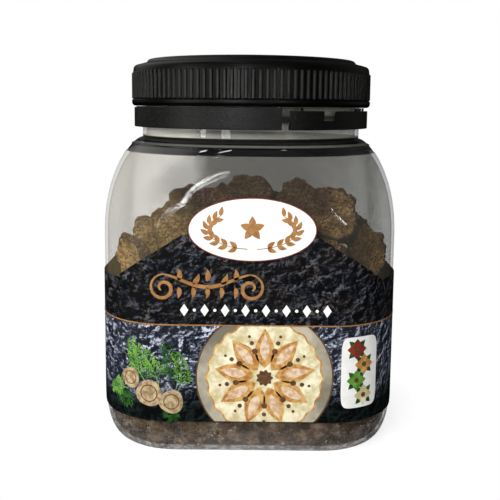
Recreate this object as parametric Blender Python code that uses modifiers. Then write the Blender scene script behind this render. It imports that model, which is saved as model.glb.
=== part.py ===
"""Clear plastic jar with a black ribbed screw lid, filled with dried black truffle slices.

Metres, +Z up. The jar stands on z = 0 with its middle on the Z axis, and its front faces -Y.
"""

import math
import random

import bmesh
import bpy
from mathutils import Matrix, Vector
from mathutils.bvhtree import BVHTree

# Gap left between two pieces that touch on the real jar
GAP = 0.0003

# Jar body, a square with rounded corners that turns into a round neck
BODY_HALF = 0.0519
CORNER_RADIUS = 0.0247
WALL = 0.0010
BASE_THICKNESS = 0.0013
HEEL_HEIGHT = 0.0156
HEEL_INSET = 0.0058
HEEL_CORNER_SHARE = 0.6
FOOT_WIDTH = 0.0045
PUSH_UP = 0.0034
PUSH_UP_HALVES = (0.022, 0.035)
PUSH_UP_SHARES = (0.92, 0.62)
SHOULDER_START = 0.0734
SHOULDER_TOP = 0.1069
SHOULDER_BLEND = 3.0

# Neck, with the bead that holds the tamper band down and one turn of thread
NECK_RADIUS = 0.0419
NECK_BORE = 0.0404
NECK_TOP = 0.1298
RIM_CHAMFER = 0.0004
BEAD_RADIUS = 0.0432
BEAD_BOTTOM = 0.1143
BEAD_TOP = 0.1159
BEAD_SLOPE = 0.0005
RING_POINTS = 60

# Thread, right-handed
THREAD_PITCH = 0.005
THREAD_START = 0.1216
THREAD_CREST_RADIUS = 0.0432
THREAD_TURNS = 1.02
THREAD_BASE = 0.0018
THREAD_CREST = 0.0009
THREAD_ROOT_SINK = 0.0005
THREAD_FADE = math.radians(25)
THREAD_STEP = math.radians(10)
LID_THREAD_CREST_RADIUS = 0.0425
LID_THREAD_FIRST = math.radians(40)
LID_THREAD_TURNS = 0.92

# Lid
LID_TOP = 0.1360
LID_RIM = 0.1186
LID_RADIUS = 0.0459
LID_ROOT_RADIUS = 0.0454
LID_BORE = 0.0439
LID_DISC_RADIUS = 0.0396
LID_FOOT_RADIUS = 0.0404
LID_FOOT = 0.1348
LID_LEDGE_RADIUS = 0.0446
LID_LEDGE = 0.1337
LID_EDGE_RADIUS = 0.0452
LID_EDGE = 0.1330
RIB_TOP = 0.1314
RIB_BOTTOM = 0.1210
RIB_HEIGHT = 0.0005
RIB_SIDE = 0.0005
RIBS_PER_FACET = 2
LID_LAND = 0.1314
LID_PANEL_UNDER = 0.1343
LID_PANEL_RADIUS = 0.0388
LID_LAND_RADIUS = 0.0402
LIP_CHAMFER = 0.0003
LIP_ROUND = 0.0011

# Liner, a loose foam disc between the lid and the neck's rim
LINER_RADIUS = 0.0434
LINER_THICKNESS = 0.0010

# Tamper band, left on the neck under the lid. It hangs a little lower right of its break
BAND_TOP = 0.1183
BAND_LOW_TOP = 0.1174
BAND_LOW_START = 0.0125
BAND_LOW_END = 0.0080
BAND_BOTTOM = 0.1109
BAND_RADIUS = 0.0450
BAND_BORE = 0.0437
BAND_LIP_RADIUS = 0.0426
BAND_LIP_TOP = 0.1118
BAND_LIP_SLOPE = 0.0016
BAND_BREAK = (math.radians(13.4), math.radians(17.3))
BAND_NOTCH = (math.radians(34.0), math.radians(42.0))
BAND_NOTCH_DEPTH = 0.0034
BRIDGE_ANGLES = (math.radians(22.7), math.radians(58.7), math.radians(94.7))
BRIDGE_SIZE = (0.0009, 0.0007)

# Label, a printed film round the front and both sides, with an oval badge that rises over its top edge
LABEL_LIFT = 0.00025
LABEL_THICKNESS = 0.00025
LABEL_REACH = 0.128
LABEL_BOTTOM = 0.0127
LABEL_SIDE_TOP = 0.0608
LABEL_SHOULDER_TOP = 0.0766
LABEL_SLOPE_START = 0.0224
LABEL_SLOPE_END = 0.0470
BADGE_CENTRE = 0.0785
BADGE_SHIFT = 0.0009
BADGE_HALF_WIDTH = 0.0213
BADGE_HALF_HEIGHT = 0.0106
BADGE_STEPS = (18, 36, 52, 66, 79, 90)
LABEL_ROWS = (0.0, 0.55, 0.8, 0.91, 1.0)

# Dried slices, dropped into the jar one after the other. One that lands on a single bunch clings to it
SLICE_SEED = 21
BUNCHES = 54
MOST_IN_BUNCH = 9
SLICES_DROPPED = 240
SLICES_PUSHED_IN = 9000
SLICE_RADIUS = (0.0092, 0.0134)
SLICE_THICKNESS = (0.0026, 0.0035)
SLICE_SIDES = 11
SLICE_WAVES = ((2, 0.11), (3, 0.07), (5, 0.04))
SLICE_REACH = 1.2
SLICE_CURL = 0.0011
SLICE_TRIES = 16
SLICE_STEP = 0.0011
CLING_DEPTH = 0.0010
WALL_SHARE = 0.75
WALL_ZONE = 0.012
WALL_INSET = (0.003, 0.008)
WALL_TILT = (54, 86)
WALL_TURN = (-20, 20)
MIDDLE_REACH = 0.72
MIDDLE_TILT = (4, 42)
LOWEST_START = 0.016

# A row of small slices that lean out over the heel's front
HEEL_SLICES = 8
HEEL_SLICE_STEP = 0.0138
HEEL_SLICE_RADIUS = 0.0070
HEEL_SLICE_HEIGHT = 0.0114
HEEL_SLICE_TILT = (92, 114)

# Columns of slices that lean on the front wall: distance along it, and each slice's height and radius
FRONT_COLUMNS = (
    (-0.0420, ((0.0285, 0.0088), (0.0480, 0.0088), (0.0665, 0.0088))),
    (0.0418, ((0.0290, 0.0090), (0.0490, 0.0090), (0.0690, 0.0090))),
    (-0.0264, ((0.0320, 0.0104), (0.0540, 0.0104), (0.0760, 0.0094))),
    (0.0268, ((0.0290, 0.0092), (0.0470, 0.0092), (0.0655, 0.0092), (0.0838, 0.0092))),
    (-0.0085, ((0.0290, 0.0092), (0.0475, 0.0092), (0.0660, 0.0092), (0.0840, 0.0092))),
    (0.0092, ((0.0290, 0.0092), (0.0475, 0.0092), (0.0660, 0.0092), (0.0830, 0.0092))),
)
COLUMN_DROP = 0.004
COLUMN_TRIES = 150
COLUMN_STRAY = 0.0020
COLUMN_INSET = (0.0028, 0.0070)
COLUMN_TILT = (68, 94)
COLUMN_TURN = (-12, 12)
CORNER_TURN = 0.5

# Slices behind the top of the columns, which close the gaps between them: distance, height and radius
SECOND_ROW = (
    (-0.0350, 0.0700, 0.0085),
    (-0.0185, 0.0830, 0.0092),
    (0.0000, 0.0850, 0.0092),
    (0.0175, 0.0830, 0.0096),
    (0.0345, 0.0730, 0.0092),
)
SECOND_ROW_INSET = (0.0090, 0.0150)

# Shape of the heap
HEAP_LOW = 0.062
HEAP_RISE = 0.033
HEAP_CENTRE = (0.005, -0.045)
HEAP_SPREAD = (0.043, 0.055)


def clear_scene():
    for obj in list(bpy.data.objects):
        bpy.data.objects.remove(obj, do_unlink=True)


def new_collection(name, shown=True):
    collection = bpy.data.collections.new(name)
    bpy.context.scene.collection.children.link(collection)
    collection.hide_render = not shown
    return collection


def material(name, colour, roughness, metallic=0.0, alpha=1.0):
    made = bpy.data.materials.new(name)
    made.use_nodes = True
    shader = made.node_tree.nodes["Principled BSDF"]
    shader.inputs["Base Color"].default_value = (*colour, 1.0)
    shader.inputs["Roughness"].default_value = roughness
    shader.inputs["Metallic"].default_value = metallic
    shader.inputs["Alpha"].default_value = alpha
    made.diffuse_color = (*colour, alpha)
    return made


def mesh_object(name, bm, collection, surface=None):
    bmesh.ops.recalc_face_normals(bm, faces=bm.faces)
    mesh = bpy.data.meshes.new(name)
    bm.to_mesh(mesh)
    bm.free()
    obj = bpy.data.objects.new(name, mesh)
    collection.objects.link(obj)
    if surface:
        mesh.materials.append(surface)
    return obj


def smooth(obj, degrees=35):
    obj.data.shade_smooth()
    obj.data.set_sharp_from_angle(angle=math.radians(degrees))


def add_boolean(obj, operation, cutter=None, collection=None):
    modifier = obj.modifiers.new(operation.title(), "BOOLEAN")
    modifier.operation = operation
    modifier.solver = "EXACT"
    if collection:
        modifier.operand_type = "COLLECTION"
        modifier.collection = collection
    else:
        modifier.object = cutter
    return modifier


def apply_modifiers(obj):
    """Gives the object its evaluated mesh in place of its modifiers."""
    graph = bpy.context.evaluated_depsgraph_get()
    mesh = bpy.data.meshes.new_from_object(obj.evaluated_get(graph))
    obj.modifiers.clear()
    obj.data = mesh


def remove_objects(objects):
    for obj in list(objects):
        bpy.data.objects.remove(obj, do_unlink=True)


def as_helper(obj):
    obj.hide_render = True
    obj.display_type = "WIRE"
    return obj


def perimeter_point(half, radius, distance, lift=0.0):
    """A point on a square with rounded corners, at a distance along it from the front's middle towards +X.

    Lift moves the point outwards without changing where along the side it lies.
    """
    flat = half - radius
    arc = radius * math.pi / 2
    side = 2 * flat + arc
    sides, along = divmod(distance + flat, side)
    if along < 2 * flat:
        point = Vector((along - flat, -half - lift))
    else:
        angle = (along - 2 * flat) / radius
        reach = radius + lift
        point = Vector((flat + reach * math.sin(angle), -flat - reach * math.cos(angle)))
    return Matrix.Rotation(sides * math.pi / 2, 2) @ point


def ring(half, radius, z, count=RING_POINTS):
    """Points at equal steps along the jar's section at one height."""
    perimeter = 8 * (half - radius) + 2 * math.pi * radius
    points = [perimeter_point(half, radius, perimeter * i / count) for i in range(count)]
    return [Vector((point.x, point.y, z)) for point in points]


def shell_section(z, inside=False):
    """Half width and corner radius of the jar's body at a height, on its outer or its inner face."""
    wall = WALL if inside else 0.0
    floor = BASE_THICKNESS if inside else 0.0
    neck = NECK_BORE if inside else NECK_RADIUS
    top = SHOULDER_TOP - wall
    half = BODY_HALF - wall
    radius = CORNER_RADIUS - wall
    if z < HEEL_HEIGHT:
        drop = min((HEEL_HEIGHT - z) / (HEEL_HEIGHT - floor), 1.0)
        tuck = HEEL_INSET * (1 - math.sqrt(1 - drop * drop))
        half -= tuck
        radius -= HEEL_CORNER_SHARE * tuck
    elif z > SHOULDER_START:
        rise = min((z - SHOULDER_START) / (top - SHOULDER_START), 1.0)
        half -= (half - neck) * (1 - math.sqrt(1 - rise * rise))
        radius += (half - radius) * rise**SHOULDER_BLEND
    return half, radius


def body_heights(inside, heel_steps, shoulder_steps):
    """Heights from the floor to the shoulder's top, closest together where the profile turns most."""
    wall = WALL if inside else 0.0
    floor = BASE_THICKNESS if inside else 0.0
    heel = HEEL_HEIGHT - floor
    rise = SHOULDER_TOP - wall - SHOULDER_START
    heights = []
    for i in range(heel_steps + 1):
        heights.append(HEEL_HEIGHT - heel * math.cos(math.pi / 2 * i / heel_steps))
    for i in range(shoulder_steps + 1):
        heights.append(SHOULDER_START + rise * math.sin(math.pi / 2 * i / shoulder_steps))
    return heights


def base_rings(lift):
    """The standing ring's inner edge and the raised middle of the base, from the middle outwards."""
    foot_half, foot_radius = shell_section(0.0)
    rings = []
    for half, share in zip(PUSH_UP_HALVES, PUSH_UP_SHARES):
        rings.append(ring(half, half * foot_radius / foot_half, lift + PUSH_UP * share))
    inner = foot_half - FOOT_WIDTH
    rings.append(ring(inner, foot_radius - FOOT_WIDTH, lift))
    return rings


def loft(rings, start, end):
    """A closed surface through rings of equal size, closed by a fan to a point at each end."""
    bm = bmesh.new()
    rows = [[bm.verts.new(point) for point in points] for points in rings]
    count = len(rows[0])
    for lower, upper in zip(rows, rows[1:]):
        for i in range(count):
            j = (i + 1) % count
            bm.faces.new((lower[i], lower[j], upper[j], upper[i]))
    for tip, row in ((bm.verts.new(start), rows[0]), (bm.verts.new(end), rows[-1])):
        for i in range(count):
            bm.faces.new((tip, row[i], row[(i + 1) % count]))
    return bm


def thread_ridge(name, collection, wall_radius, crest_radius, start_z, first, turns):
    """A helical ridge whose root is sunk in the wall and whose ends fade into it."""
    outwards = 1 if crest_radius > wall_radius else -1
    root = wall_radius - outwards * THREAD_ROOT_SINK
    buried = wall_radius - outwards * THREAD_ROOT_SINK / 2
    sweep = turns * 2 * math.pi
    steps = round(sweep / THREAD_STEP)
    bm = bmesh.new()
    rows = []
    for i in range(steps + 1):
        turned = sweep * i / steps
        angle = first + turned
        fade = min(turned, sweep - turned, THREAD_FADE) / THREAD_FADE
        crest = buried + (crest_radius - buried) * math.sin(fade * math.pi / 2)
        z = start_z + THREAD_PITCH * angle / (2 * math.pi)
        corners = (
            (root, -THREAD_BASE / 2),
            (crest, -THREAD_CREST / 2),
            (crest, THREAD_CREST / 2),
            (root, THREAD_BASE / 2),
        )
        row = [bm.verts.new((r * math.cos(angle), r * math.sin(angle), z + dz)) for r, dz in corners]
        rows.append(row)
    for near, far in zip(rows, rows[1:]):
        for i in range(4):
            j = (i + 1) % 4
            bm.faces.new((near[i], near[j], far[j], far[i]))
    bm.faces.new(rows[0])
    bm.faces.new(rows[-1])
    return as_helper(mesh_object(name, bm, collection))


def turned(name, profile, collection, surface, steps=RING_POINTS):
    """A profile of (radius, height) points, run down its outer side and turned round Z."""
    mesh = bpy.data.meshes.new(name)
    edges = [(i, i + 1) for i in range(len(profile) - 1)]
    if profile[0][0] > 0:
        edges.append((len(profile) - 1, 0))
    mesh.from_pydata([(radius, 0.0, height) for radius, height in profile], edges, [])
    mesh.materials.append(surface)
    obj = bpy.data.objects.new(name, mesh)
    collection.objects.link(obj)
    screw = obj.modifiers.new("Turn", "SCREW")
    screw.axis = "Z"
    screw.steps = steps
    screw.render_steps = steps
    screw.use_merge_vertices = True
    screw.merge_threshold = 0.00001
    return obj


def box_cutter(name, collection, low, high, angle=0.0):
    """A box between two corners, turned round Z, where angle 0 faces the front."""
    bm = bmesh.new()
    bmesh.ops.create_cube(bm, size=1.0)
    low, high = Vector(low), Vector(high)
    bmesh.ops.scale(bm, vec=high - low, verts=bm.verts)
    bmesh.ops.translate(bm, vec=(low + high) / 2, verts=bm.verts)
    bmesh.ops.rotate(bm, cent=(0, 0, 0), matrix=Matrix.Rotation(angle, 3, "Z"), verts=bm.verts)
    return as_helper(mesh_object(name, bm, collection))


def build_jar(collection, helpers):
    """The blown body, its neck, the bead under the band and the thread, as one shell."""
    surface = material("jar_plastic", (0.80, 0.81, 0.80), 0.06, alpha=0.3)
    rings = base_rings(0.0)
    for z in body_heights(False, 4, 8):
        rings.append(ring(*shell_section(z), z))
    neck = [
        (NECK_RADIUS, BEAD_BOTTOM - BEAD_SLOPE),
        (BEAD_RADIUS, BEAD_BOTTOM),
        (BEAD_RADIUS, BEAD_TOP),
        (NECK_RADIUS, BEAD_TOP + BEAD_SLOPE),
        (NECK_RADIUS, NECK_TOP - RIM_CHAMFER),
        (NECK_RADIUS - RIM_CHAMFER, NECK_TOP),
        (NECK_BORE, NECK_TOP),
    ]
    rings += [ring(radius, radius, z) for radius, z in neck]
    for z in reversed(body_heights(True, 3, 6)):
        rings.append(ring(*shell_section(z, inside=True), z))
    rings += reversed(base_rings(BASE_THICKNESS))
    bm = loft(rings, (0, 0, PUSH_UP), (0, 0, PUSH_UP + BASE_THICKNESS))
    jar = mesh_object("jar", bm, collection, surface)
    ridge = thread_ridge(
        "neck_thread", helpers, NECK_RADIUS, THREAD_CREST_RADIUS, THREAD_START, 0.0, THREAD_TURNS
    )
    add_boolean(jar, "UNION", ridge)
    smooth(jar)


def add_ribs(obj):
    """Splits the facets of the lid's side and raises a grip rib on each part."""
    bm = bmesh.new()
    bm.from_mesh(obj.data)
    middle = (RIB_TOP + RIB_BOTTOM) / 2
    side = [
        face
        for face in bm.faces
        if abs(face.calc_center_median().z - middle) < GAP
        and face.calc_center_median().xy.length > LID_BORE + GAP
    ]
    rib_length = RIB_TOP - RIB_BOTTOM
    level = {edge for face in side for edge in face.edges if edge.calc_length() < rib_length - GAP}
    bmesh.ops.subdivide_edges(bm, edges=list(level), cuts=RIBS_PER_FACET - 1, use_grid_fill=True)
    middles = [
        face
        for face in bm.faces
        if abs(face.calc_center_median().z - middle) < GAP
        and face.calc_center_median().xy.length > LID_BORE + GAP
    ]
    bmesh.ops.inset_individual(bm, faces=middles, thickness=RIB_SIDE, depth=RIB_HEIGHT)
    bm.to_mesh(obj.data)
    bm.free()


def build_lid(collection, helpers):
    """The screw lid: a raised top panel, a ledge round it, a ribbed side, a rounded lip and a thread inside."""
    surface = material("lid_plastic", (0.012, 0.012, 0.014), 0.35)
    profile = [
        (0.0, LID_TOP),
        (LID_DISC_RADIUS, LID_TOP),
        (LID_FOOT_RADIUS, LID_FOOT),
        (LID_LEDGE_RADIUS, LID_LEDGE),
        (LID_EDGE_RADIUS, LID_EDGE),
        (LID_ROOT_RADIUS, RIB_TOP),
        (LID_ROOT_RADIUS, RIB_BOTTOM),
        (LID_RADIUS, RIB_BOTTOM - LIP_CHAMFER),
        (LID_RADIUS, LID_RIM + LIP_ROUND),
        (LID_RADIUS - LIP_ROUND, LID_RIM),
        (LID_BORE, LID_RIM),
        (LID_BORE, LID_LAND),
        (LID_LAND_RADIUS, LID_LAND),
        (LID_PANEL_RADIUS, LID_PANEL_UNDER),
        (0.0, LID_PANEL_UNDER),
    ]
    lid = turned("lid", profile, collection, surface)
    apply_modifiers(lid)
    add_ribs(lid)
    ridge = thread_ridge(
        "lid_thread",
        helpers,
        LID_BORE,
        LID_THREAD_CREST_RADIUS,
        THREAD_START - THREAD_PITCH / 2,
        LID_THREAD_FIRST,
        LID_THREAD_TURNS,
    )
    add_boolean(lid, "UNION", ridge)
    smooth(lid)


def build_liner(collection):
    surface = material("liner_foam", (0.78, 0.77, 0.74), 0.8)
    top = LID_LAND - GAP
    bottom = top - LINER_THICKNESS
    profile = [(0.0, top), (LINER_RADIUS, top), (LINER_RADIUS, bottom), (0.0, bottom)]
    smooth(turned("liner", profile, collection, surface))


def build_tamper_band(collection, helpers):
    """The ring left on the neck: broken at one place, notched at another, with the stubs of its bridges."""
    surface = material("band_plastic", (0.014, 0.014, 0.016), 0.5)
    profile = [
        (BAND_RADIUS, BAND_TOP),
        (BAND_RADIUS, BAND_BOTTOM),
        (BAND_LIP_RADIUS + GAP, BAND_BOTTOM),
        (BAND_LIP_RADIUS, BAND_LIP_TOP),
        (BAND_BORE, BAND_LIP_TOP + BAND_LIP_SLOPE),
        (BAND_BORE, BAND_TOP),
    ]
    band = turned("tamper_band", profile, collection, surface)
    low = (BAND_LOW_START, -BAND_RADIUS - WALL, BAND_LOW_TOP)
    high = (BAND_RADIUS + WALL, BAND_LOW_END, BAND_TOP + WALL)
    add_boolean(band, "DIFFERENCE", box_cutter("band_low_side", helpers, low, high))
    bridges = new_collection("bridge_stubs", shown=False)
    width, reach = BRIDGE_SIZE
    for i, angle in enumerate(BRIDGE_ANGLES):
        low = (-width / 2, -BAND_RADIUS + GAP, BAND_LOW_TOP - width)
        high = (width / 2, -BAND_RADIUS + GAP + reach, BAND_TOP)
        box_cutter(f"bridge_{i + 1}", bridges, low, high, angle)
    add_boolean(band, "UNION", collection=bridges)
    apply_modifiers(band)
    remove_objects(bridges.objects)
    spans = ((BAND_BREAK, BAND_BOTTOM - WALL), (BAND_NOTCH, BAND_LOW_TOP - BAND_NOTCH_DEPTH))
    for i, (span, floor) in enumerate(spans):
        half = BAND_RADIUS * math.sin((span[1] - span[0]) / 2)
        low = (-half, -BAND_RADIUS - WALL, floor)
        high = (half, -BAND_LIP_RADIUS * 0.9, BAND_TOP + WALL)
        cutter = box_cutter(f"band_cut_{i + 1}", helpers, low, high, sum(span) / 2)
        add_boolean(band, "DIFFERENCE", cutter)
    smooth(band)


def label_top(distance):
    """Height of the label's top edge at a distance along the jar from the front's middle."""
    aside = abs(distance - BADGE_SHIFT) / BADGE_HALF_WIDTH
    if aside < 1:
        return BADGE_CENTRE + BADGE_HALF_HEIGHT * math.sqrt(1 - aside**2)
    share = (abs(distance) - LABEL_SLOPE_START) / (LABEL_SLOPE_END - LABEL_SLOPE_START)
    share = min(max(share, 0.0), 1.0)
    return LABEL_SHOULDER_TOP + (LABEL_SIDE_TOP - LABEL_SHOULDER_TOP) * share


def label_columns():
    """Distances along the jar: its own ring points, and closer ones where the badge's edge curves."""
    flat = BODY_HALF - CORNER_RADIUS
    step = (8 * flat + 2 * math.pi * CORNER_RADIUS) / RING_POINTS
    beside = [step * i for i in range(1, int(LABEL_REACH / step) + 1) if step * i > LABEL_SLOPE_START]
    beside += [LABEL_SLOPE_START, LABEL_SLOPE_END, LABEL_REACH]
    badge = [BADGE_HALF_WIDTH * math.sin(math.radians(angle)) for angle in BADGE_STEPS]
    columns = [BADGE_SHIFT]
    for side in (-1, 1):
        columns += [side * distance for distance in beside]
        columns += [BADGE_SHIFT + side * distance for distance in badge]
    return sorted(columns)


def build_label(collection):
    """A film lying on the jar's wall, thickened outwards."""
    surface = material("label_film", (0.03, 0.032, 0.04), 0.4)
    bm = bmesh.new()
    columns = []
    for distance in label_columns():
        column = []
        for share in LABEL_ROWS:
            z = LABEL_BOTTOM + (label_top(distance) - LABEL_BOTTOM) * share
            point = perimeter_point(*shell_section(z), distance, LABEL_LIFT)
            column.append(bm.verts.new((point.x, point.y, z)))
        columns.append(column)
    for left, right in zip(columns, columns[1:]):
        for i in range(len(LABEL_ROWS) - 1):
            bm.faces.new((left[i], right[i], right[i + 1], left[i + 1]))
    label = mesh_object("label", bm, collection, surface)
    solidify = label.modifiers.new("Thickness", "SOLIDIFY")
    solidify.thickness = LABEL_THICKNESS
    solidify.offset = 1.0
    smooth(label)


def slice_shape(rng, radius=None):
    """A thin curled slice: its corners, the same grown by the gap, its faces and its radius."""
    radius = radius or rng.uniform(*SLICE_RADIUS)
    thickness = rng.uniform(*SLICE_THICKNESS)
    curl = rng.uniform(-SLICE_CURL, SLICE_CURL)
    phases = [rng.uniform(0, 2 * math.pi) for _ in range(4)]
    shapes = []
    for extra in (0.0, GAP + 0.0001):
        points = [Vector((0, 0, side * (thickness / 2 + extra))) for side in (-1, 1)]
        for i in range(SLICE_SIDES):
            angle = 2 * math.pi * i / SLICE_SIDES
            wave = 0.0
            for (waves, size), phase in zip(SLICE_WAVES, phases):
                wave += size * math.sin(waves * angle + phase)
            reach = radius * (1 + wave) + extra
            bend = curl * math.cos(2 * angle + phases[3])
            for side in (-1, 1):
                height = bend + side * (thickness / 2 + extra)
                points.append(Vector((reach * math.cos(angle), reach * math.sin(angle), height)))
        shapes.append(points)
    faces = []
    for i in range(SLICE_SIDES):
        low = 2 + 2 * i
        high = low + 1
        next_low = 2 + 2 * ((i + 1) % SLICE_SIDES)
        next_high = next_low + 1
        faces += [(0, next_low, low), (1, high, next_high)]
        faces += [(low, next_low, next_high), (low, next_high, high)]
    return shapes[0], shapes[1], faces, radius


def heap_top(x, y):
    """Height that the pile of slices reaches at a place. It is highest behind the front wall."""
    across = (x - HEAP_CENTRE[0]) / HEAP_SPREAD[0]
    back = (y - HEAP_CENTRE[1]) / HEAP_SPREAD[1]
    return HEAP_LOW + HEAP_RISE * math.exp(-(across**4) - back**2)


def inside_jar(points, whole=True):
    """True if every point is inside the jar's inner face. Without whole, the shoulder is left out."""
    for point in points:
        z = point.z if whole or point.z < HEEL_HEIGHT else HEEL_HEIGHT
        half, radius = shell_section(max(z, BASE_THICKNESS), inside=True)
        flat = half - radius
        x = max(abs(point.x) - flat, 0.0)
        y = max(abs(point.y) - flat, 0.0)
        if math.hypot(x, y) > radius - GAP:
            return False
        raised = max(abs(point.x), abs(point.y)) < BODY_HALF - HEEL_INSET - FOOT_WIDTH
        if point.z < BASE_THICKNESS + (PUSH_UP if raised else 0.0) + GAP:
            return False
    return True


def facing_out(x, y):
    """The heading of the wall that a place is nearest to, square to it, or slantwise in a corner."""
    half = BODY_HALF - WALL
    beside_x = half - abs(x) < WALL_ZONE
    beside_y = half - abs(y) < WALL_ZONE
    if beside_x and beside_y:
        return math.atan2(y, x)
    if beside_x:
        return 0.0 if x > 0 else math.pi
    return math.pi / 2 if y > 0 else -math.pi / 2


def turned_slice(rng, heading, tilt):
    """A turn that tilts a slice towards a heading, with a random spin in its own plane."""
    spin = Matrix.Rotation(rng.uniform(0, 2 * math.pi), 3, "Z")
    tilted = Matrix.Rotation(math.radians(rng.uniform(*tilt)), 3, "Y")
    return Matrix.Rotation(heading, 3, "Z") @ tilted @ spin


def place_at_front(rng, distance, depth, tilt):
    """A place behind the front wall, and a turn with the slice's face mostly to the front."""
    inset = WALL + rng.uniform(*depth)
    there = distance + rng.uniform(-COLUMN_STRAY, COLUMN_STRAY)
    x, y = perimeter_point(BODY_HALF - inset, CORNER_RADIUS - inset, there)
    heading = CORNER_TURN * (facing_out(x, y) + math.pi / 2) - math.pi / 2
    return x, y, turned_slice(rng, heading + math.radians(rng.uniform(*COLUMN_TURN)), tilt)


def place_of_slice(rng, at_wall):
    """A place and a turn: against the wall with its face outwards, or flatter in the middle."""
    half, radius = BODY_HALF - WALL, CORNER_RADIUS - WALL
    if at_wall:
        inset = rng.uniform(*WALL_INSET)
        perimeter = 8 * (half - radius) + 2 * math.pi * (radius - inset)
        x, y = perimeter_point(half - inset, radius - inset, rng.uniform(0, perimeter))
        heading = facing_out(x, y) + math.radians(rng.uniform(*WALL_TURN))
        return x, y, turned_slice(rng, heading, WALL_TILT)
    x = rng.uniform(-MIDDLE_REACH, MIDDLE_REACH) * half
    y = rng.uniform(-MIDDLE_REACH, MIDDLE_REACH) * half
    return x, y, turned_slice(rng, rng.uniform(0, 2 * math.pi), MIDDLE_TILT)


def touching(points, faces, others):
    tree = BVHTree.FromPolygons(points, faces)
    return [other for other in others if tree.overlap(other["tree"])]


def settled(shape, place, start, pile, sizes, highest=SHOULDER_TOP):
    """Lowers a slice from a height until it would touch. Returns it with the bunch that it joins, or None.

    It joins the bunch that it lands on, or starts one of its own where it lands on the floor or on several.
    """
    plain, grown, faces, radius = shape
    x, y, turn = place
    reach = radius * SLICE_REACH
    middle = Vector((x, y))
    near = [other for other in pile if (other["centre"].xy - middle).length < reach + other["reach"]]
    z = start
    if z is None:
        z = max([other["top"] for other in near], default=LOWEST_START) + radius

    def at(points, height):
        return [turn @ point + Vector((x, y, height)) for point in points]

    if not inside_jar(at(grown, z), whole=False) or touching(at(grown, z), faces, near):
        return None
    landed = []
    while not landed and inside_jar(at(grown, z - SLICE_STEP), whole=False):
        landed = touching(at(grown, z - SLICE_STEP), faces, near)
        if not landed:
            z -= SLICE_STEP
    bunch = len(sizes)
    under = {other["bunch"] for other in landed}
    if len(under) == 1 and sizes[min(under)] < MOST_IN_BUNCH:
        own = [other for other in near if other["bunch"] in under]
        strangers = [other for other in near if other["bunch"] not in under]
        lower = z - CLING_DEPTH
        if touching(at(plain, lower), faces, own) and not touching(at(grown, lower), faces, strangers):
            z = lower
            bunch = min(under)
    if bunch == BUNCHES or not inside_jar(at(grown, z)):
        return None
    points = at(plain, z)
    top = max(point.z for point in points)
    if top > highest:
        return None
    return {
        "points": points,
        "faces": faces,
        "tree": BVHTree.FromPolygons(points, faces),
        "centre": Vector((x, y, z)),
        "reach": reach,
        "top": top,
        "bunch": bunch,
    }


def pile_up_slices():
    """The slices in their bunches. Slices of one bunch meet, and bunches stay clear of each other.

    The front wall's slices come first, each the one of many tries that ends nearest to its height. The others
    are dropped from above, each to the lowest of a few places, and the last are pushed in where the wall still
    has room.
    """
    rng = random.Random(SLICE_SEED)
    pile = []
    sizes = []

    def keep(made):
        if made["bunch"] == len(sizes):
            sizes.append(0)
        sizes[made["bunch"]] += 1
        pile.append(made)

    def stand_at_front(distance, height, radius, depth, tilt):
        tries = []
        for _ in range(COLUMN_TRIES):
            shape = slice_shape(rng, radius)
            place = place_at_front(rng, distance, depth, tilt)
            tries.append(settled(shape, place, height + COLUMN_DROP, pile, sizes))
        found = [made for made in tries if made]
        if found:
            keep(min(found, key=lambda made: abs(made["centre"].z - height)))

    for i in range(HEEL_SLICES):
        distance = HEEL_SLICE_STEP * (i - (HEEL_SLICES - 1) / 2)
        stand_at_front(distance, HEEL_SLICE_HEIGHT, HEEL_SLICE_RADIUS, COLUMN_INSET, HEEL_SLICE_TILT)
    for distance, slices in FRONT_COLUMNS:
        for height, radius in slices:
            stand_at_front(distance, height, radius, COLUMN_INSET, COLUMN_TILT)
    for distance, height, radius in SECOND_ROW:
        stand_at_front(distance, height, radius, SECOND_ROW_INSET, COLUMN_TILT)
    for _ in range(SLICES_DROPPED):
        shape = slice_shape(rng)
        tries = []
        for _ in range(SLICE_TRIES):
            place = place_of_slice(rng, rng.random() < WALL_SHARE)
            tries.append(settled(shape, place, None, pile, sizes, heap_top(place[0], place[1])))
        found = [made for made in tries if made]
        if found:
            keep(min(found, key=lambda made: made["centre"].z))
    for _ in range(SLICES_PUSHED_IN):
        shape = slice_shape(rng)
        place = place_of_slice(rng, True)
        highest = heap_top(place[0], place[1])
        start = rng.uniform(LOWEST_START, highest)
        made = settled(shape, place, start, pile, sizes, highest)
        if made:
            keep(made)
    return [[made for made in pile if made["bunch"] == bunch] for bunch in range(len(sizes))]


def build_slices(collection):
    surface = material("dried_truffle", (0.16, 0.11, 0.06), 0.85)
    for number, bunch in enumerate(pile_up_slices(), start=1):
        others = new_collection(f"bunch_{number}", shown=False)
        made = []
        for piece in bunch:
            bm = bmesh.new()
            corners = [bm.verts.new(point) for point in piece["points"]]
            for face in piece["faces"]:
                bm.faces.new([corners[index] for index in face])
            home = others if made else collection
            made.append(mesh_object(f"truffle_slices_{number:02d}", bm, home, surface))
        if len(made) > 1:
            add_boolean(made[0], "UNION", collection=others)
            apply_modifiers(made[0])
            remove_objects(made[1:])
        bpy.data.collections.remove(others)


def main():
    clear_scene()
    parts = new_collection("truffle_slice_jar")
    helpers = new_collection("cutters", shown=False)
    build_jar(parts, helpers)
    build_lid(parts, helpers)
    build_liner(parts)
    build_tamper_band(parts, helpers)
    build_label(parts)
    build_slices(parts)


main()
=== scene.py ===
"""Looks for the jar of dried truffle slices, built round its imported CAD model.

Metres, +Z up, in the row frame: the jar stands on z = 0 and the middle of its label faces -Y.
"""

import random
from math import atan2, cos, pi, radians, sin, sqrt

import bmesh
import bpy
import numpy as np
from mathutils import Matrix, Vector, noise
from mathutils.bvhtree import BVHTree


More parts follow.
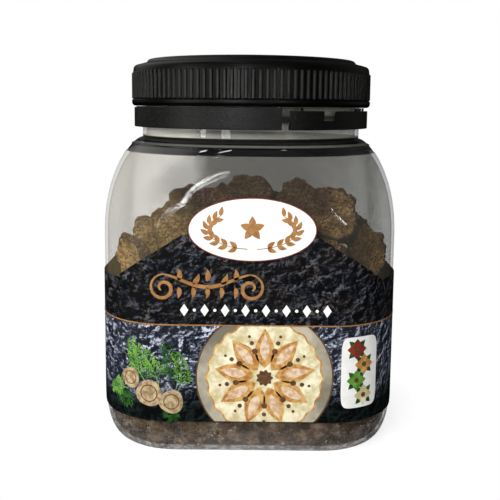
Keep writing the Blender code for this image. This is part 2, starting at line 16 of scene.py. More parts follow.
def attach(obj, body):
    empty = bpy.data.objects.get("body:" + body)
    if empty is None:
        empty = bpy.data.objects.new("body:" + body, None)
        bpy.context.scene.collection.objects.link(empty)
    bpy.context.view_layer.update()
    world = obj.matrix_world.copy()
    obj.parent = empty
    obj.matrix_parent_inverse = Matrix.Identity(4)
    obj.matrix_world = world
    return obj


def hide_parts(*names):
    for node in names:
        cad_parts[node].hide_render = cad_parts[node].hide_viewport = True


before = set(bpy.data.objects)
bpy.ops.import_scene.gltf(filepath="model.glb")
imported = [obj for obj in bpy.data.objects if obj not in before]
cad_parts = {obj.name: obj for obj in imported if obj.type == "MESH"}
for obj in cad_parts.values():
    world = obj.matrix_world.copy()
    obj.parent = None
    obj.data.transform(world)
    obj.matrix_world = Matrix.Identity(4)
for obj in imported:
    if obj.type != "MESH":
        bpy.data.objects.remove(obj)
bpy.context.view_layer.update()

# Camera, from the photo's two lid ellipses and the jar's outline. The photo is 500 by 500 pixels
PHOTO_SIDE = 500
SENSOR = 36.0
FOCAL_PIXELS = 741.0
HORIZON_ROW = 198.1
CAMERA_PLACE = (0.0, -0.2919, 0.1185)
CAMERA_TILT = radians(83.0)
CAMERA_ROLL = radians(0.6)

# Jar, as in the CAD model
BODY_HALF = 0.0519
CORNER_RADIUS = 0.0247
WALL = 0.001
BASE_THICKNESS = 0.0013
HEEL_HEIGHT = 0.0156
HEEL_INSET = 0.0058
HEEL_CORNER_SHARE = 0.6
FOOT_WIDTH = 0.0045
PUSH_UP = 0.0034
SHOULDER_START = 0.0734
SHOULDER_TOP = 0.1069
SHOULDER_BLEND = 3.0
NECK_RADIUS = 0.0419
NECK_BORE = 0.0404
NECK_TOP = 0.1298
BEAD_RADIUS = 0.0432
BEAD_BOTTOM = 0.1143
BEAD_TOP = 0.1159
BEAD_SLOPE = 0.0005
JAR_POINTS = 320
NECK_FOOT = 0.1078
# From a rounded corner to the ring of points that keeps the wall beside it flat
HOLD = 0.001

# Opacity of the jar's plastic: at its left (lower, as painted light), elsewhere, in the belt (high, under a
# painted dark reflection), in the neck, of its dust and its crumbs
LEFT_OPACITY = 0.15
WALL_OPACITY = 0.46
BELT_OPACITY = 0.9
NECK_OPACITY = 0.41
DUST_OPACITY = 0.35
CRUMB_OPACITY = 0.3

# Rings moulded round the top of the shoulder: a sunk belt with a rounded ridge in it
BELT_BOTTOM = 0.1021
BELT_TOP = 0.1069
BELT_DEPTH = 0.0003
RIDGE_MIDDLE = 0.1048
RIDGE_HALF = 0.0005
RIDGE_HEIGHT = 0.0005
BELT_ROW_STEP = 0.0002

# Thread
THREAD_PITCH = 0.005
THREAD_START = 0.1216
THREAD_CREST_RADIUS = 0.0432
THREAD_TURNS = 1.02
THREAD_BASE = 0.0018
THREAD_CREST = 0.0009
THREAD_FADE = radians(25)
LID_THREAD_CREST_RADIUS = 0.0425
LID_THREAD_FIRST = radians(40)
LID_THREAD_TURNS = 0.92

# Lid
LID_TOP = 0.136
LID_RIM = 0.1186
LID_RADIUS = 0.0459
LID_ROOT_RADIUS = 0.0454
LID_BORE = 0.0439
AXIS_GAP = 0.0006
# Radius and height of the edges of the lid's top, from the middle out, and of its hollow, from the side in
LID_TOP_EDGES = ((AXIS_GAP, LID_TOP), (0.0396, LID_TOP), (0.0404, 0.1348), (0.0446, 0.1337), (0.0452, 0.133))
LID_UNDER_EDGES = ((LID_BORE, 0.1314), (0.0402, 0.1314), (0.0388, 0.1343), (AXIS_GAP, 0.1343))
LIP_ROUND = 0.0014
RIB_TOP = 0.1312
RIB_BOTTOM = 0.1212
RIB_HEIGHT = 0.0005
RIB_COUNT = 120
LINER_RADIUS = 0.0434
LINER_TOP = 0.1311
LINER_BOTTOM = 0.1301

# Tamper band
BAND_TOP = 0.1185
BAND_LOW_TOP = 0.1174
BAND_LOW_START = 0.0125
BAND_LOW_END = 0.008
BAND_BOTTOM = 0.1109
BAND_RADIUS = 0.045
BAND_BORE = 0.0437
BAND_LIP_RADIUS = 0.0426
BAND_BREAK = (radians(13.4), radians(17.3))
BAND_NOTCH = (radians(34.0), radians(42.0))
BAND_NOTCH_DEPTH = 0.0034
BRIDGE_ANGLES = (radians(22.7), radians(58.7), radians(94.7))
BRIDGE_WIDTH = 0.0009
STUB_DEPTHS = (0.0003, 0.001)
BAR_BOTTOM = 0.1136
BAR_TOP = 0.1154
SEAM_ANGLE = radians(-72.0)
SEAM_WIDTH = 0.0012
SEAM_DEPTH = 0.001
SEAM_DROP = 0.0004
SEAM_DROP_FRONT = -0.02

# Label film, and the layers of print on it
LABEL_LIFT = 0.00025
LABEL_THICKNESS = 0.0001
LABEL_REACH = 0.128
LABEL_BOTTOM = 0.0127
LABEL_SIDE_TOP = 0.0608
LABEL_SHOULDER_TOP = 0.0766
LABEL_SLOPE_START = 0.0224
LABEL_SLOPE_END = 0.047
BADGE_CENTRE = (0.0009, 0.0785)
BADGE_HALF_WIDTH = 0.0213
BADGE_HALF_HEIGHT = 0.0106
PRINT_STEP = 0.00002
INK_THICKNESS = 0.000028
LINE_HEIGHT = 0.0463
PLATE_CENTRE = (0.0055, 0.0283)
PLATE_RADIUS = 0.0232
PANEL_CENTRE = (0.0382, 0.0298)
PANEL_HALVES = (0.007, 0.0124)

# Slices
VOXEL = 0.0006
SMOOTH_STEPS = 12
FACE_DEPTH = 0.005
RIND_STEPS = 6
DISH_STEPS = 26
DISH_DEPTH = 0.0007
EDGE_GROWTH = 0.0005
EDGE_WEAR = 0.0013
EDGE_SIZE = 0.0038
WALL_GAP = 0.0002
LUMP_HEIGHT = 0.0006
LUMP_SIZE = 0.004
GRAIN_HEIGHT = 0.00022
GRAIN_SIZE = 0.0012
MOST_RISE = 0.00035
SLICE_TONE_SEED = 40
DARK_HEIGHT = 0.08
DARK_HALF_WIDTH = 0.03

# Room, as directions (azimuth, elevation) where azimuth 0 is the front and positive is to the right.
# Each glow has its direction, the angles where it starts to fade and where it ends, and its strength
WORLD_GLOWS = (
    (-125, 38, 15, 42, 0.7),
    (-60, 2, 4, 24, 1.55),
    (35, 60, 5, 40, 0.08),
    (110, 20, 5, 45, 0.1),
    (180, 30, 5, 40, 0.03),
)
ROOM_COLOUR = (1.0, 0.985, 0.95)
FLOOR_SIZE = 1.2
FLOOR_FADE = (0.04, 0.074)
MIDDLE = Vector((0, 0, 0.08))
SHOULDER = Vector((-0.02, -0.05, 0.088))
LINE_DISTANCE = 0.8

# Softboxes: name, direction, distance, side and brightness
SOFT_LIGHTS = (
    ("key", -38, 34, 0.9, 0.6, 12.5),
    ("top", 10, 75, 1.0, 1.0, 2.0),
    ("fill", 40, 15, 0.9, 0.5, 3.5),
    ("back", 165, 30, 0.9, 0.6, 5.0),
)

# Bright lines in the reflections: directions and the line's width there, then its brightness
LEFT_STREAK = (
    ((-14, 0.9, 0.009), (-11, 1.7, 0.012), (-8, 3.5, 0.012), (-6, 6, 0.0065), (-5.4, 9, 0.0042))
    + ((-5, 13, 0.0036), (-4.3, 17, 0.0038), (-3.8, 20, 0.004), (-3, 23, 0.004))
    + ((-2.2, 26, 0.0036), (-1, 30, 0.0024))
)
RIGHT_STREAK = ((17, 8, 0.005), (21, 5, 0.012), (26, 4, 0.018), (31, 2.5, 0.018), (34, 1.2, 0.008))
STREAKS = (
    ("left_streak", LEFT_STREAK, 60.0),
    ("second_streak", ((-24, 3, 0.012), (-19, 5, 0.024), (-14, 6, 0.028), (-9, 6.5, 0.012)), 32.0),
    ("right_streak", RIGHT_STREAK, 30.0),
    ("neck_glint", ((-52, -0.5, 0.02), (-47, -0.5, 0.02)), 9.0),
    ("second_neck_glint", ((-29, -0.5, 0.02), (-20, -0.5, 0.02)), 7.0),
    ("belt_glint", ((-104, 72, 0.04), (-92, 72, 0.04)), 12.0),
    ("second_belt_glint", ((-30, 71, 0.05), (-10, 71, 0.05)), 12.0),
)


def placed(name, data):
    """A new object in the scene."""
    obj = bpy.data.objects.new(name, data)
    bpy.context.scene.collection.objects.link(obj)
    return obj


def make_camera():
    data = bpy.data.cameras.new("camera")
    data.sensor_width = SENSOR
    data.lens = FOCAL_PIXELS / PHOTO_SIDE * SENSOR
    data.shift_y = (HORIZON_ROW - PHOTO_SIDE / 2) / PHOTO_SIDE
    camera = placed("camera", data)
    turn = Matrix.Rotation(CAMERA_TILT, 4, "X") @ Matrix.Rotation(CAMERA_ROLL, 4, "Z")
    camera.matrix_world = Matrix.Translation(CAMERA_PLACE) @ turn
    bpy.context.scene.camera = camera


# Node helpers


class Nodes:
    """Adds nodes to a node tree."""

    def __init__(self, tree):
        self.tree = tree

    def add(self, kind, inputs=(), **settings):
        """A shader node with its settings, and its inputs in order or by name."""
        node = self.tree.nodes.new("ShaderNode" + kind)
        for key, value in settings.items():
            setattr(node, key, value)
        for key, value in inputs.items() if isinstance(inputs, dict) else enumerate(inputs):
            self.feed(node.inputs[key], value)
        return node

    def feed(self, socket, value):
        if isinstance(value, bpy.types.NodeSocket):
            self.tree.links.new(value, socket)
        else:
            socket.default_value = (*value, 1.0) if socket.type == "RGBA" else value

    def math(self, operation, *values, clamp=False):
        return self.add("Math", values, operation=operation, use_clamp=clamp).outputs[0]

    def times(self, first, second):
        return self.math("MULTIPLY", first, second)

    def plus(self, first, second, clamp=False):
        return self.math("ADD", first, second, clamp=clamp)

    def minus(self, first, second, clamp=False):
        return self.math("SUBTRACT", first, second, clamp=clamp)

    def ramp(self, value, start, end, low=0.0, high=1.0, smooth=True):
        kind = "SMOOTHSTEP" if smooth else "LINEAR"
        return self.add("MapRange", (value, start, end, low, high), interpolation_type=kind).outputs[0]


class Material(Nodes):
    """Builds one material's nodes."""

    def __init__(self, name):
        self.made = bpy.data.materials.new(name)
        self.made.use_nodes = True
        super().__init__(self.made.node_tree)
        self.shader = self.tree.nodes["Principled BSDF"]
        self.place = self.add("TexCoord").outputs["Object"]

    def set(self, **values):
        """Sets or links the Principled shader's sockets, with _ for each space in a name."""
        for key, value in values.items():
            self.feed(self.shader.inputs[key.replace("_", " ")], value)

    def mix(self, share, first, second):
        return self.add("Mix", {0: share, 6: first, 7: second}, data_type="RGBA").outputs[2]

    def moved(self, scale=(1, 1, 1), shift=(0, 0, 0)):
        return self.add("Mapping", {"Vector": self.place, "Scale": scale, "Location": shift}).outputs[0]

    def noise(self, size, detail=4.0, rough=0.55, warp=0.0, place=None):
        """Noise whose features are about this many metres across."""
        inputs = {"Vector": place or self.place, "Scale": 1 / size, "Detail": detail}
        inputs.update({"Roughness": rough, "Distortion": warp})
        return self.add("TexNoise", inputs).outputs[0]

    def drift(self, low, high, size, detail=3.0):
        """A value that wanders between two others."""
        return self.ramp(self.noise(size, detail), 0.3, 0.7, low, high)

    def cells(self, size):
        return self.add("TexVoronoi", {"Vector": self.place, "Scale": 1 / size}).outputs["Distance"]

    def along(self, axis):
        return self.add("SeparateXYZ", (self.place,)).outputs[axis]

    def radial(self):
        """The distance from the Z axis."""
        return self.add("VectorMath", (self.moved((1, 1, 0)),), operation="LENGTH").outputs["Value"]

    def bump(self, height, distance, strength=1.0, under=None):
        inputs = {"Strength": strength, "Distance": distance, "Height": height}
        if under:
            inputs["Normal"] = under
        return self.add("Bump", inputs).outputs["Normal"]


# Materials


def film_material():
    """Clear blown plastic, smoky, with truffle dust on it, and painted light: paler and less opaque at the
    left and lighter at the far right, a painted bright neck, and a painted dark reflection in the belt with
    a paler painted band.
    """
    n = Material("clear_plastic")
    across, tall = n.along("X"), n.along("Z")
    depth = n.ramp(n.along("Y"), -0.03, 0.03, 0.64, 1.24)
    edge = n.math("POWER", n.add("LayerWeight", {"Blend": 0.5}).outputs["Facing"], 5.0)
    few = n.ramp(n.noise(0.006, 2.0), 0.5, 0.66)
    dust = n.times(n.ramp(n.cells(0.0021), 0.1, 0.045), few)
    place = n.plus(across, n.drift(-0.006, 0.006, 0.025))
    # Painted light: the wall is less opaque at the left, where the light falls, and at the far right, so it
    # reads paler there.
    right = n.ramp(place, -0.034, -0.018)
    far_right = n.ramp(place, 0.022, 0.052)
    opacity = n.ramp(right, 0.0, 1.0, LEFT_OPACITY, WALL_OPACITY, smooth=False)
    opacity = n.times(n.minus(opacity, n.times(far_right, 0.11)), depth)
    opacity = n.plus(opacity, n.times(edge, 0.3))
    neck = n.ramp(n.radial(), NECK_RADIUS + 0.0014, NECK_RADIUS + 0.0006)
    neck = n.times(neck, n.ramp(tall, NECK_FOOT - 0.0002, NECK_FOOT + 0.0001))
    belt = n.minus(n.ramp(tall, BELT_BOTTOM - 0.0001, BELT_BOTTOM + 0.0002), neck, clamp=True)
    # Painted reflection: a paler band in the dark belt, between its ridge and its top.
    pale_reflection = n.ramp(tall, RIDGE_MIDDLE, RIDGE_MIDDLE + 0.0003)
    pale_reflection = n.minus(pale_reflection, n.ramp(tall, BELT_TOP - 0.0014, BELT_TOP - 0.0011), clamp=True)
    for share, strength in ((belt, BELT_OPACITY), (neck, NECK_OPACITY)):
        opacity = n.math("MAXIMUM", opacity, n.times(share, strength))
    ragged = n.plus(tall, n.drift(-0.004, 0.004, 0.009, 2.0))
    low = n.ramp(ragged, 0.022, 0.012)
    crumbs = n.times(n.ramp(n.noise(0.003, 5.0, 0.65), 0.42, 0.56), low)
    opacity = n.plus(opacity, n.times(dust, DUST_OPACITY), clamp=True)
    foot = n.ramp(tall, 0.01, 0.003, 0.27, 0.58)
    opacity = n.math("MAXIMUM", opacity, n.times(low, foot))
    opacity = n.plus(opacity, n.times(crumbs, CRUMB_OPACITY), clamp=True)
    # Painted light: the wall is painted pale beige at the left, dark in the middle and lighter grey at the
    # far right.
    colour = n.mix(right, (0.235, 0.2, 0.105), (0.033, 0.032, 0.023))
    colour = n.mix(far_right, colour, (0.075, 0.075, 0.055))
    # Painted reflection: the belt is painted near black and nearly opaque, with the paler painted band in
    # it.
    colour = n.mix(belt, colour, n.mix(pale_reflection, (0.003, 0.003, 0.0035), (0.07, 0.071, 0.064)))
    # Painted light: the neck is painted bright, paler still at the left where the light falls.
    colour = n.mix(neck, colour, n.mix(right, (0.9, 0.88, 0.75), (0.46, 0.46, 0.4)))
    colour = n.mix(dust, colour, (0.03, 0.024, 0.018))
    speck = n.times(n.ramp(n.noise(0.0011, 3.0), 0.58, 0.66), few)
    clod = n.ramp(n.noise(0.0042, 3.0, 0.55), 0.42, 0.6)
    loose = n.mix(clod, (0.036, 0.026, 0.021), (0.2, 0.148, 0.108))
    loose = n.mix(speck, loose, (0.42, 0.35, 0.26))
    colour = n.mix(low, colour, n.mix(crumbs, (0.09, 0.072, 0.058), loose))
    n.set(Base_Color=colour, Alpha=opacity, IOR=1.55, Specular_IOR_Level=0.7)
    flat = n.times(belt, n.ramp(tall, BELT_TOP - 0.0008, BELT_TOP - 0.0005))
    gloss = n.drift(0.03, 0.06, 0.03)
    n.set(Roughness=n.math("MAXIMUM", gloss, n.times(flat, 0.6)))
    n.set(Normal=n.bump(n.noise(0.018, 2.0), 0.0003, 0.08))
    return n.made


def lid_material():
    """Moulded black plastic: satin, with faint scuffs, and a painted highlight on the crests of its ribs."""
    n = Material("black_plastic")
    scuff = n.ramp(n.noise(0.004, 6.0, 0.7, place=n.moved((1, 1, 0.12))), 0.52, 0.72)
    # Painted highlight: the crests of the ribs are painted paler than the rest of the lid.
    crest = n.ramp(n.radial(), LID_ROOT_RADIUS + 0.00038, LID_ROOT_RADIUS + 0.00048)
    crest = n.times(crest, n.ramp(n.along("Z"), RIB_BOTTOM, RIB_BOTTOM + 0.0006))
    crest_highlight = n.drift(0.6, 1.0, 0.0015, 4.0)
    colour = n.mix(scuff, (0.001, 0.001, 0.0009), (0.003, 0.003, 0.0027))
    n.set(Base_Color=n.mix(n.times(crest, crest_highlight), colour, (0.02, 0.02, 0.018)))
    n.set(Roughness=n.ramp(scuff, 0.0, 1.0, 0.33, 0.37), Specular_IOR_Level=0.28)
    return n.made


def band_material():
    """The band's plastic, with the coarser grain of an eroded mould."""
    n = Material("band_black_plastic")
    grain = n.ramp(n.noise(0.0008, 3.0), 0.4, 0.6)
    n.set(Base_Color=n.mix(grain, (0.0006, 0.0006, 0.0005), (0.005, 0.005, 0.0046)))
    n.set(Roughness=n.drift(0.36, 0.5, 0.0007, 4.0), Specular_IOR_Level=0.5)
    n.set(Normal=n.bump(n.cells(0.0008), 0.00012, 0.8))
    return n.made


def foam_material():
    n = Material("white_foam")
    n.set(Base_Color=n.mix(n.noise(0.002, 4.0), (0.7, 0.69, 0.66), (0.82, 0.81, 0.78)))
    n.set(Roughness=0.8)
    n.set(Normal=n.bump(n.cells(0.0006), 0.0001, 0.7))
    return n.made


def lumps_of_rock(n, size, step):
    """How far rough rock falls over one step, which is its brightness when lit from the upper left."""
    heights = []
    for shift in ((0, 0, 0), (step, step, -step)):
        heights.append(n.noise(size, 3.5, 0.6, 0.35, place=n.moved((1.0, 1.0, 1.25), shift=shift)))
    return n.minus(heights[0], heights[1])


def slate_material():
    """The label's ground: printed dark rock, near black over the line and bluish grey below it."""
    n = Material("slate_print")
    tall = n.along("Z")
    lit = lumps_of_rock(n, 0.0034, 0.00035)
    facet = n.ramp(lit, -0.03, 0.07)
    spark = n.ramp(lit, 0.045, 0.105)
    patch = n.ramp(n.noise(0.01, 3.0, 0.5, 0.6), 0.36, 0.64)
    tinted = n.mix(n.ramp(n.noise(0.005, 2.0), 0.4, 0.6), (0.03, 0.034, 0.046), (0.04, 0.032, 0.028))
    upper = n.mix(facet, (0.001, 0.0012, 0.0016), tinted)
    upper = n.mix(spark, upper, (0.085, 0.09, 0.105))
    upper = n.mix(n.times(patch, 0.5), upper, (0.003, 0.0035, 0.0045))
    lower = n.mix(facet, (0.006, 0.008, 0.013), (0.135, 0.15, 0.205))
    lower = n.mix(spark, lower, (0.52, 0.56, 0.64))
    lower = n.mix(n.times(patch, 0.5), lower, (0.016, 0.018, 0.028))
    foot = n.ramp(n.plus(tall, n.times(patch, 0.003)), 0.019, 0.029)
    lower = n.mix(foot, n.mix(facet, (0.001, 0.0015, 0.0016), (0.007, 0.012, 0.012)), lower)
    below = n.ramp(tall, LINE_HEIGHT - 0.0001, LINE_HEIGHT + 0.0001, smooth=False)
    normal = n.add("TexCoord").outputs["Normal"]
    facing = n.add("VectorMath", (n.moved((1, 1, 0)), normal), operation="DOT_PRODUCT")
    outside = n.ramp(facing.outputs["Value"], -0.001, 0.001, smooth=False)
    inside = n.mix(patch, (0.026, 0.018, 0.012), (0.08, 0.055, 0.032))
    n.set(Base_Color=n.mix(outside, inside, n.mix(below, lower, upper)), Specular_IOR_Level=0.15)
    n.set(Roughness=n.drift(0.42, 0.52, 0.01))
    n.set(Normal=n.bump(n.noise(0.012, 2.0), 0.0001, 0.3))
    return n.made


def ink_material(name, dark, light, size=0.003):
    """A printed ink whose tone drifts a little between two colours."""
    n = Material(name)
    n.set(Base_Color=n.mix(n.ramp(n.noise(size, 4.0, 0.6), 0.35, 0.65), dark, light))
    n.set(Roughness=n.drift(0.4, 0.5, 0.008), Specular_IOR_Level=0.15)
    return n.made


def truffle_material():
    """Dried truffle: warty dark rind, and tan or brown faces finely marbled with light veins."""
    n = Material("dried_truffle")
    rind, tone = [n.add("Attribute", attribute_name=name).outputs["Fac"] for name in ("rind", "tone")]
    worms = n.math("ABSOLUTE", n.minus(n.noise(0.0015, 5.0, 0.6, 1.2), 0.5))
    worms = n.ramp(worms, 0.05, 0.0)
    grain = n.ramp(n.noise(0.0006, 5.0, 0.7), 0.38, 0.64)
    drift = n.ramp(n.noise(0.0045, 4.0, 0.6), 0.38, 0.62)
    light = n.mix(grain, (0.095, 0.048, 0.017), (0.4, 0.235, 0.09))
    light = n.mix(n.times(worms, 0.7), light, (0.62, 0.42, 0.21))
    light = n.mix(n.times(drift, 0.7), light, (0.062, 0.03, 0.014))
    dark = n.mix(grain, (0.012, 0.006, 0.004), (0.1, 0.052, 0.033))
    dark = n.mix(n.times(worms, 0.5), dark, (0.23, 0.135, 0.085))
    dark = n.mix(n.times(drift, 0.65), dark, (0.014, 0.006, 0.005))
    flesh = n.mix(tone, light, dark)
    warts = n.ramp(n.cells(0.0013), 0.15, 0.65)
    bark = n.mix(warts, (0.1, 0.046, 0.036), (0.012, 0.006, 0.006))
    bark = n.mix(n.times(grain, 0.3), bark, (0.15, 0.072, 0.055))
    ragged = n.drift(-0.14, 0.14, 0.0018)
    share = n.ramp(n.plus(rind, ragged), 0.12, 0.32)
    n.set(Base_Color=n.mix(share, flesh, bark), Specular_IOR_Level=0.25)
    n.set(Roughness=n.ramp(rind, 0.2, 0.8, 0.85, 0.7))
    lumps = n.bump(warts, 0.0006, 0.8)
    n.set(Normal=n.bump(n.noise(0.0007, 5.0, 0.7), 0.00035, 0.9, under=lumps))
    return n.made


# Mesh helpers


def mesh_object(name, bm, outwards=True):
    """The mesh as an object. Its faces are turned outwards unless they already are."""
    if outwards:
        bmesh.ops.recalc_face_normals(bm, faces=bm.faces)
    mesh = bpy.data.meshes.new(name)
    bm.to_mesh(mesh)
    bm.free()
    return placed(name, mesh)


def piece(name, bm, *looks, **links):
    """A finished mesh as a piece of the part."""
    return dressed(mesh_object(name, bm), *looks, **links)


def dressed(obj, surface, body="jar", slot=None, replaces=(), sharp=35):
    """Gives an object its material and smooth shading, and lets it ride on a body."""
    obj.data.materials.clear()
    obj.data.materials.append(surface)
    obj.data.shade_smooth()
    if sharp:
        obj.data.set_sharp_from_angle(angle=radians(sharp))
    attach(obj, body)
    if replaces:
        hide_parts(*replaces)
    return obj


def evaluated(obj):
    """Gives the object its evaluated mesh in place of its modifiers."""
    graph = bpy.context.evaluated_depsgraph_get()
    mesh = bpy.data.meshes.new_from_object(obj.evaluated_get(graph))
    obj.modifiers.clear()
    obj.data = mesh


def rounded(points, radius, steps=3):
    """The same line with its corners turned into short curves."""
    made = [points[0]]
    for before, corner, after in zip(points, points[1:], points[2:]):
        corner = Vector(corner)
        sides = [Vector(point) - corner for point in (before, after)]
        reach = min(radius, *(side.length * 0.45 for side in sides))
        start, end = [corner + side.normalized() * reach for side in sides]
        for i in range(steps + 1):
            t = i / steps
            made.append((start * (1 - t) ** 2 + corner * 2 * t * (1 - t) + end * t * t).to_tuple())
    made.append(points[-1])
    return made


def join_rows(bm, rows, closed=True):
    """Quads between rows of equal length."""
    count = len(rows[0])
    for lower, upper in zip(rows, rows[1:]):
        for i in range(count if closed else count - 1):
            j = (i + 1) % count
            bm.faces.new((lower[i], lower[j], upper[j], upper[i]))


def cap(bm, row, tip):
    """A fan from a row to a point."""
    middle = bm.verts.new(tip)
    for i, vert in enumerate(row):
        bm.faces.new((middle, vert, row[(i + 1) % len(row)]))


def polar(centre, reach, angle):
    return (centre[0] + reach * cos(angle), centre[1] + reach * sin(angle))


def turned_rows(bm, profile, count, radius_of=lambda radius, z, share: radius):
    """Rows of a profile of (radius, height) points turned round Z."""
    rows = []
    for radius, z in profile:
        reaches = [radius_of(radius, z, i / count) for i in range(count)]
        ring = [polar((0, 0), reach, 2 * pi * i / count) for i, reach in enumerate(reaches)]
        rows.append([bm.verts.new((*point, z)) for point in ring])
    return rows


def turned_solid(profile, count, *radius_of):
    """A profile turned round Z, and closed at the axis at both its ends."""
    bm = bmesh.new()
    rows = turned_rows(bm, profile, count, *radius_of)
    join_rows(bm, rows)
    for end in (0, -1):
        cap(bm, rows[end], (0, 0, profile[end][1]))
    return bm


# Jar


def perimeter_point(half, radius, distance, lift=0.0):
    """A point on a square with rounded corners, at a distance along it from the front's middle."""
    flat = half - radius
    arc = radius * pi / 2
    sides, along = divmod(distance + flat, 2 * flat + arc)
    angle = max(along - 2 * flat, 0.0) / radius
    reach = radius + lift
    point = Vector((min(along - flat, flat) + reach * sin(angle), -flat - reach * cos(angle)))
    return Matrix.Rotation(sides * pi / 2, 2) @ point


def section_ring(half, radius, z):
    perimeter = 8 * (half - radius) + 2 * pi * radius
    points = [perimeter_point(half, radius, perimeter * i / JAR_POINTS) for i in range(JAR_POINTS)]
    return [(point.x, point.y, z) for point in points]


def shell_section(z, inside=False):
    """Half width and corner radius of the jar's body at a height, on its outer or its inner face."""
    wall, floor, neck = (WALL, BASE_THICKNESS, NECK_BORE) if inside else (0.0, 0.0, NECK_RADIUS)
    top = SHOULDER_TOP - wall
    half = BODY_HALF - wall
    radius = CORNER_RADIUS - wall
    if z < HEEL_HEIGHT:
        drop = min((HEEL_HEIGHT - z) / (HEEL_HEIGHT - floor), 1.0)
        tuck = HEEL_INSET * (1 - sqrt(1 - drop * drop))
        half -= tuck
        radius -= HEEL_CORNER_SHARE * tuck
    elif z > SHOULDER_START:
        rise = min((z - SHOULDER_START) / (top - SHOULDER_START), 1.0)
        half -= (half - neck) * (1 - sqrt(1 - rise * rise))
        radius += (half - radius) * rise**SHOULDER_BLEND
    return half, radius


def belt_rise(z):
    """How far the moulded belt and its ridge lift the shoulder's outer face at a height."""
    into = min(max((z - BELT_BOTTOM) / BELT_ROW_STEP, 0.0), 1.0)
    away = abs(z - RIDGE_MIDDLE) / RIDGE_HALF
    ridge = RIDGE_HEIGHT * 0.5 * (1 + cos(pi * away)) if away < 1 else 0.0
    return ridge - BELT_DEPTH * into


def body_rings(inside, heel_steps, straight_steps, shoulder_steps):
    wall, floor = (WALL, BASE_THICKNESS) if inside else (0.0, 0.0)
    heel = HEEL_HEIGHT - floor
    rise = SHOULDER_TOP - wall - SHOULDER_START
    straight = SHOULDER_START - HEEL_HEIGHT
    heights = [HEEL_HEIGHT - heel * cos(pi / 2 * i / heel_steps) for i in range(heel_steps)]
    heights += [HEEL_HEIGHT + straight * i / straight_steps for i in range(straight_steps)]
    heights += [SHOULDER_START + rise * sin(pi / 2 * i / shoulder_steps) for i in range(shoulder_steps + 1)]
    if not inside:
        heights = [z for z in heights if z < BELT_BOTTOM - BELT_ROW_STEP]
        belt_rows = round((BELT_TOP - BELT_BOTTOM) / BELT_ROW_STEP) + 1
        heights += [BELT_BOTTOM + BELT_ROW_STEP * i for i in range(belt_rows)]
    rings = []
    for z in heights:
        half, radius = shell_section(z, inside)
        lift = 0.0 if inside else belt_rise(z)
        rings.append(section_ring(half + lift, radius + lift, z))
    return rings


def base_rings(lift):
    """The raised middle of the base, from near its centre out to the standing ring's inner edge."""
    foot_half, foot_radius = shell_section(0.0)
    inner = foot_half - FOOT_WIDTH
    rings = []
    for i in range(1, 13):
        share = i / 12
        half = inner * share
        radius = half * (1 - share) + (foot_radius - FOOT_WIDTH) * share
        z = lift + PUSH_UP * (1 - share**2) ** 0.6
        rings.append(section_ring(half, min(radius, half), z))
    return rings


def build_jar(surface):
    """The blown shell with its neck and bead, and the neck's thread."""
    low, high = BEAD_BOTTOM - BEAD_SLOPE, BEAD_TOP + BEAD_SLOPE
    neck = [(NECK_RADIUS, z) for z in (SHOULDER_TOP, NECK_FOOT, low - HOLD, low)]
    neck += [(BEAD_RADIUS, BEAD_BOTTOM), (BEAD_RADIUS, BEAD_TOP)]
    neck += [(NECK_RADIUS, z) for z in (high, high + HOLD, NECK_TOP - BEAD_SLOPE - HOLD, NECK_TOP)]
    neck = rounded(neck + [(NECK_BORE, NECK_TOP), (NECK_BORE, SHOULDER_TOP)], 0.0005)
    rings = base_rings(0.0)
    rings += body_rings(False, 12, 16, 30)
    rings += [section_ring(radius, radius, z) for radius, z in neck[1:]]
    rings += reversed(body_rings(True, 10, 12, 24))
    rings += reversed(base_rings(BASE_THICKNESS))
    bm = bmesh.new()
    rows = [[bm.verts.new(point) for point in ring] for ring in rings]
    join_rows(bm, rows)
    cap(bm, rows[0], (0, 0, PUSH_UP))
    cap(bm, rows[-1], (0, 0, PUSH_UP + BASE_THICKNESS))
    ridge = thread(NECK_RADIUS, THREAD_CREST_RADIUS, THREAD_START, 0.0, THREAD_TURNS)
    for name, made, replaced in (("clear_jar", bm, ["jar"]), ("neck_thread", ridge, ())):
        piece(name, made, surface, slot="jar_plastic", replaces=replaced).visible_shadow = False


def thread(wall_radius, crest_radius, start_z, first, turns):
    """A helical ridge whose ends fade into the wall."""
    outwards = 1 if crest_radius > wall_radius else -1
    root = wall_radius - outwards * 0.0002
    sweep = turns * 2 * pi
    steps = 160
    bm = bmesh.new()
    rows = []
    for i in range(steps + 1):
        turned = sweep * i / steps
        angle = first + turned
        fade = min(turned, sweep - turned, THREAD_FADE) / THREAD_FADE
        crest = root + (crest_radius - root) * sin(fade * pi / 2)
        z = start_z + THREAD_PITCH * angle / (2 * pi)
        half_base, half_crest = THREAD_BASE / 2, THREAD_CREST / 2
        middle = (root + crest) / 2
        section = [(root, -half_base), (middle, -0.8 * half_base), (crest, -half_crest)]
        section += [(r, -dz) for r, dz in reversed(section)]
        rows.append([bm.verts.new((*polar((0, 0), r, angle), z + dz)) for r, dz in section])
    join_rows(bm, rows)
    bm.faces.new(rows[0])
    bm.faces.new(rows[-1])
    return bm


# Lid, liner and band

RIB_STEPS = (0.0, 0.8, 1.0, 1.0, 1.0, 0.8, 0.0, 0.0, 0.0, 0.0)


def ribbed(radius, z, share):
    """The lid's side: raised ribs between two heights, round between them."""
    if radius < LID_BORE + 0.001 or not RIB_BOTTOM < z < RIB_TOP:
        return radius
    step = round(share * RIB_COUNT * len(RIB_STEPS)) % len(RIB_STEPS)
    fade = min((z - RIB_BOTTOM) / 0.0002, (RIB_TOP - z) / 0.0004, 1.0)
    return LID_ROOT_RADIUS + RIB_HEIGHT * RIB_STEPS[step] * fade


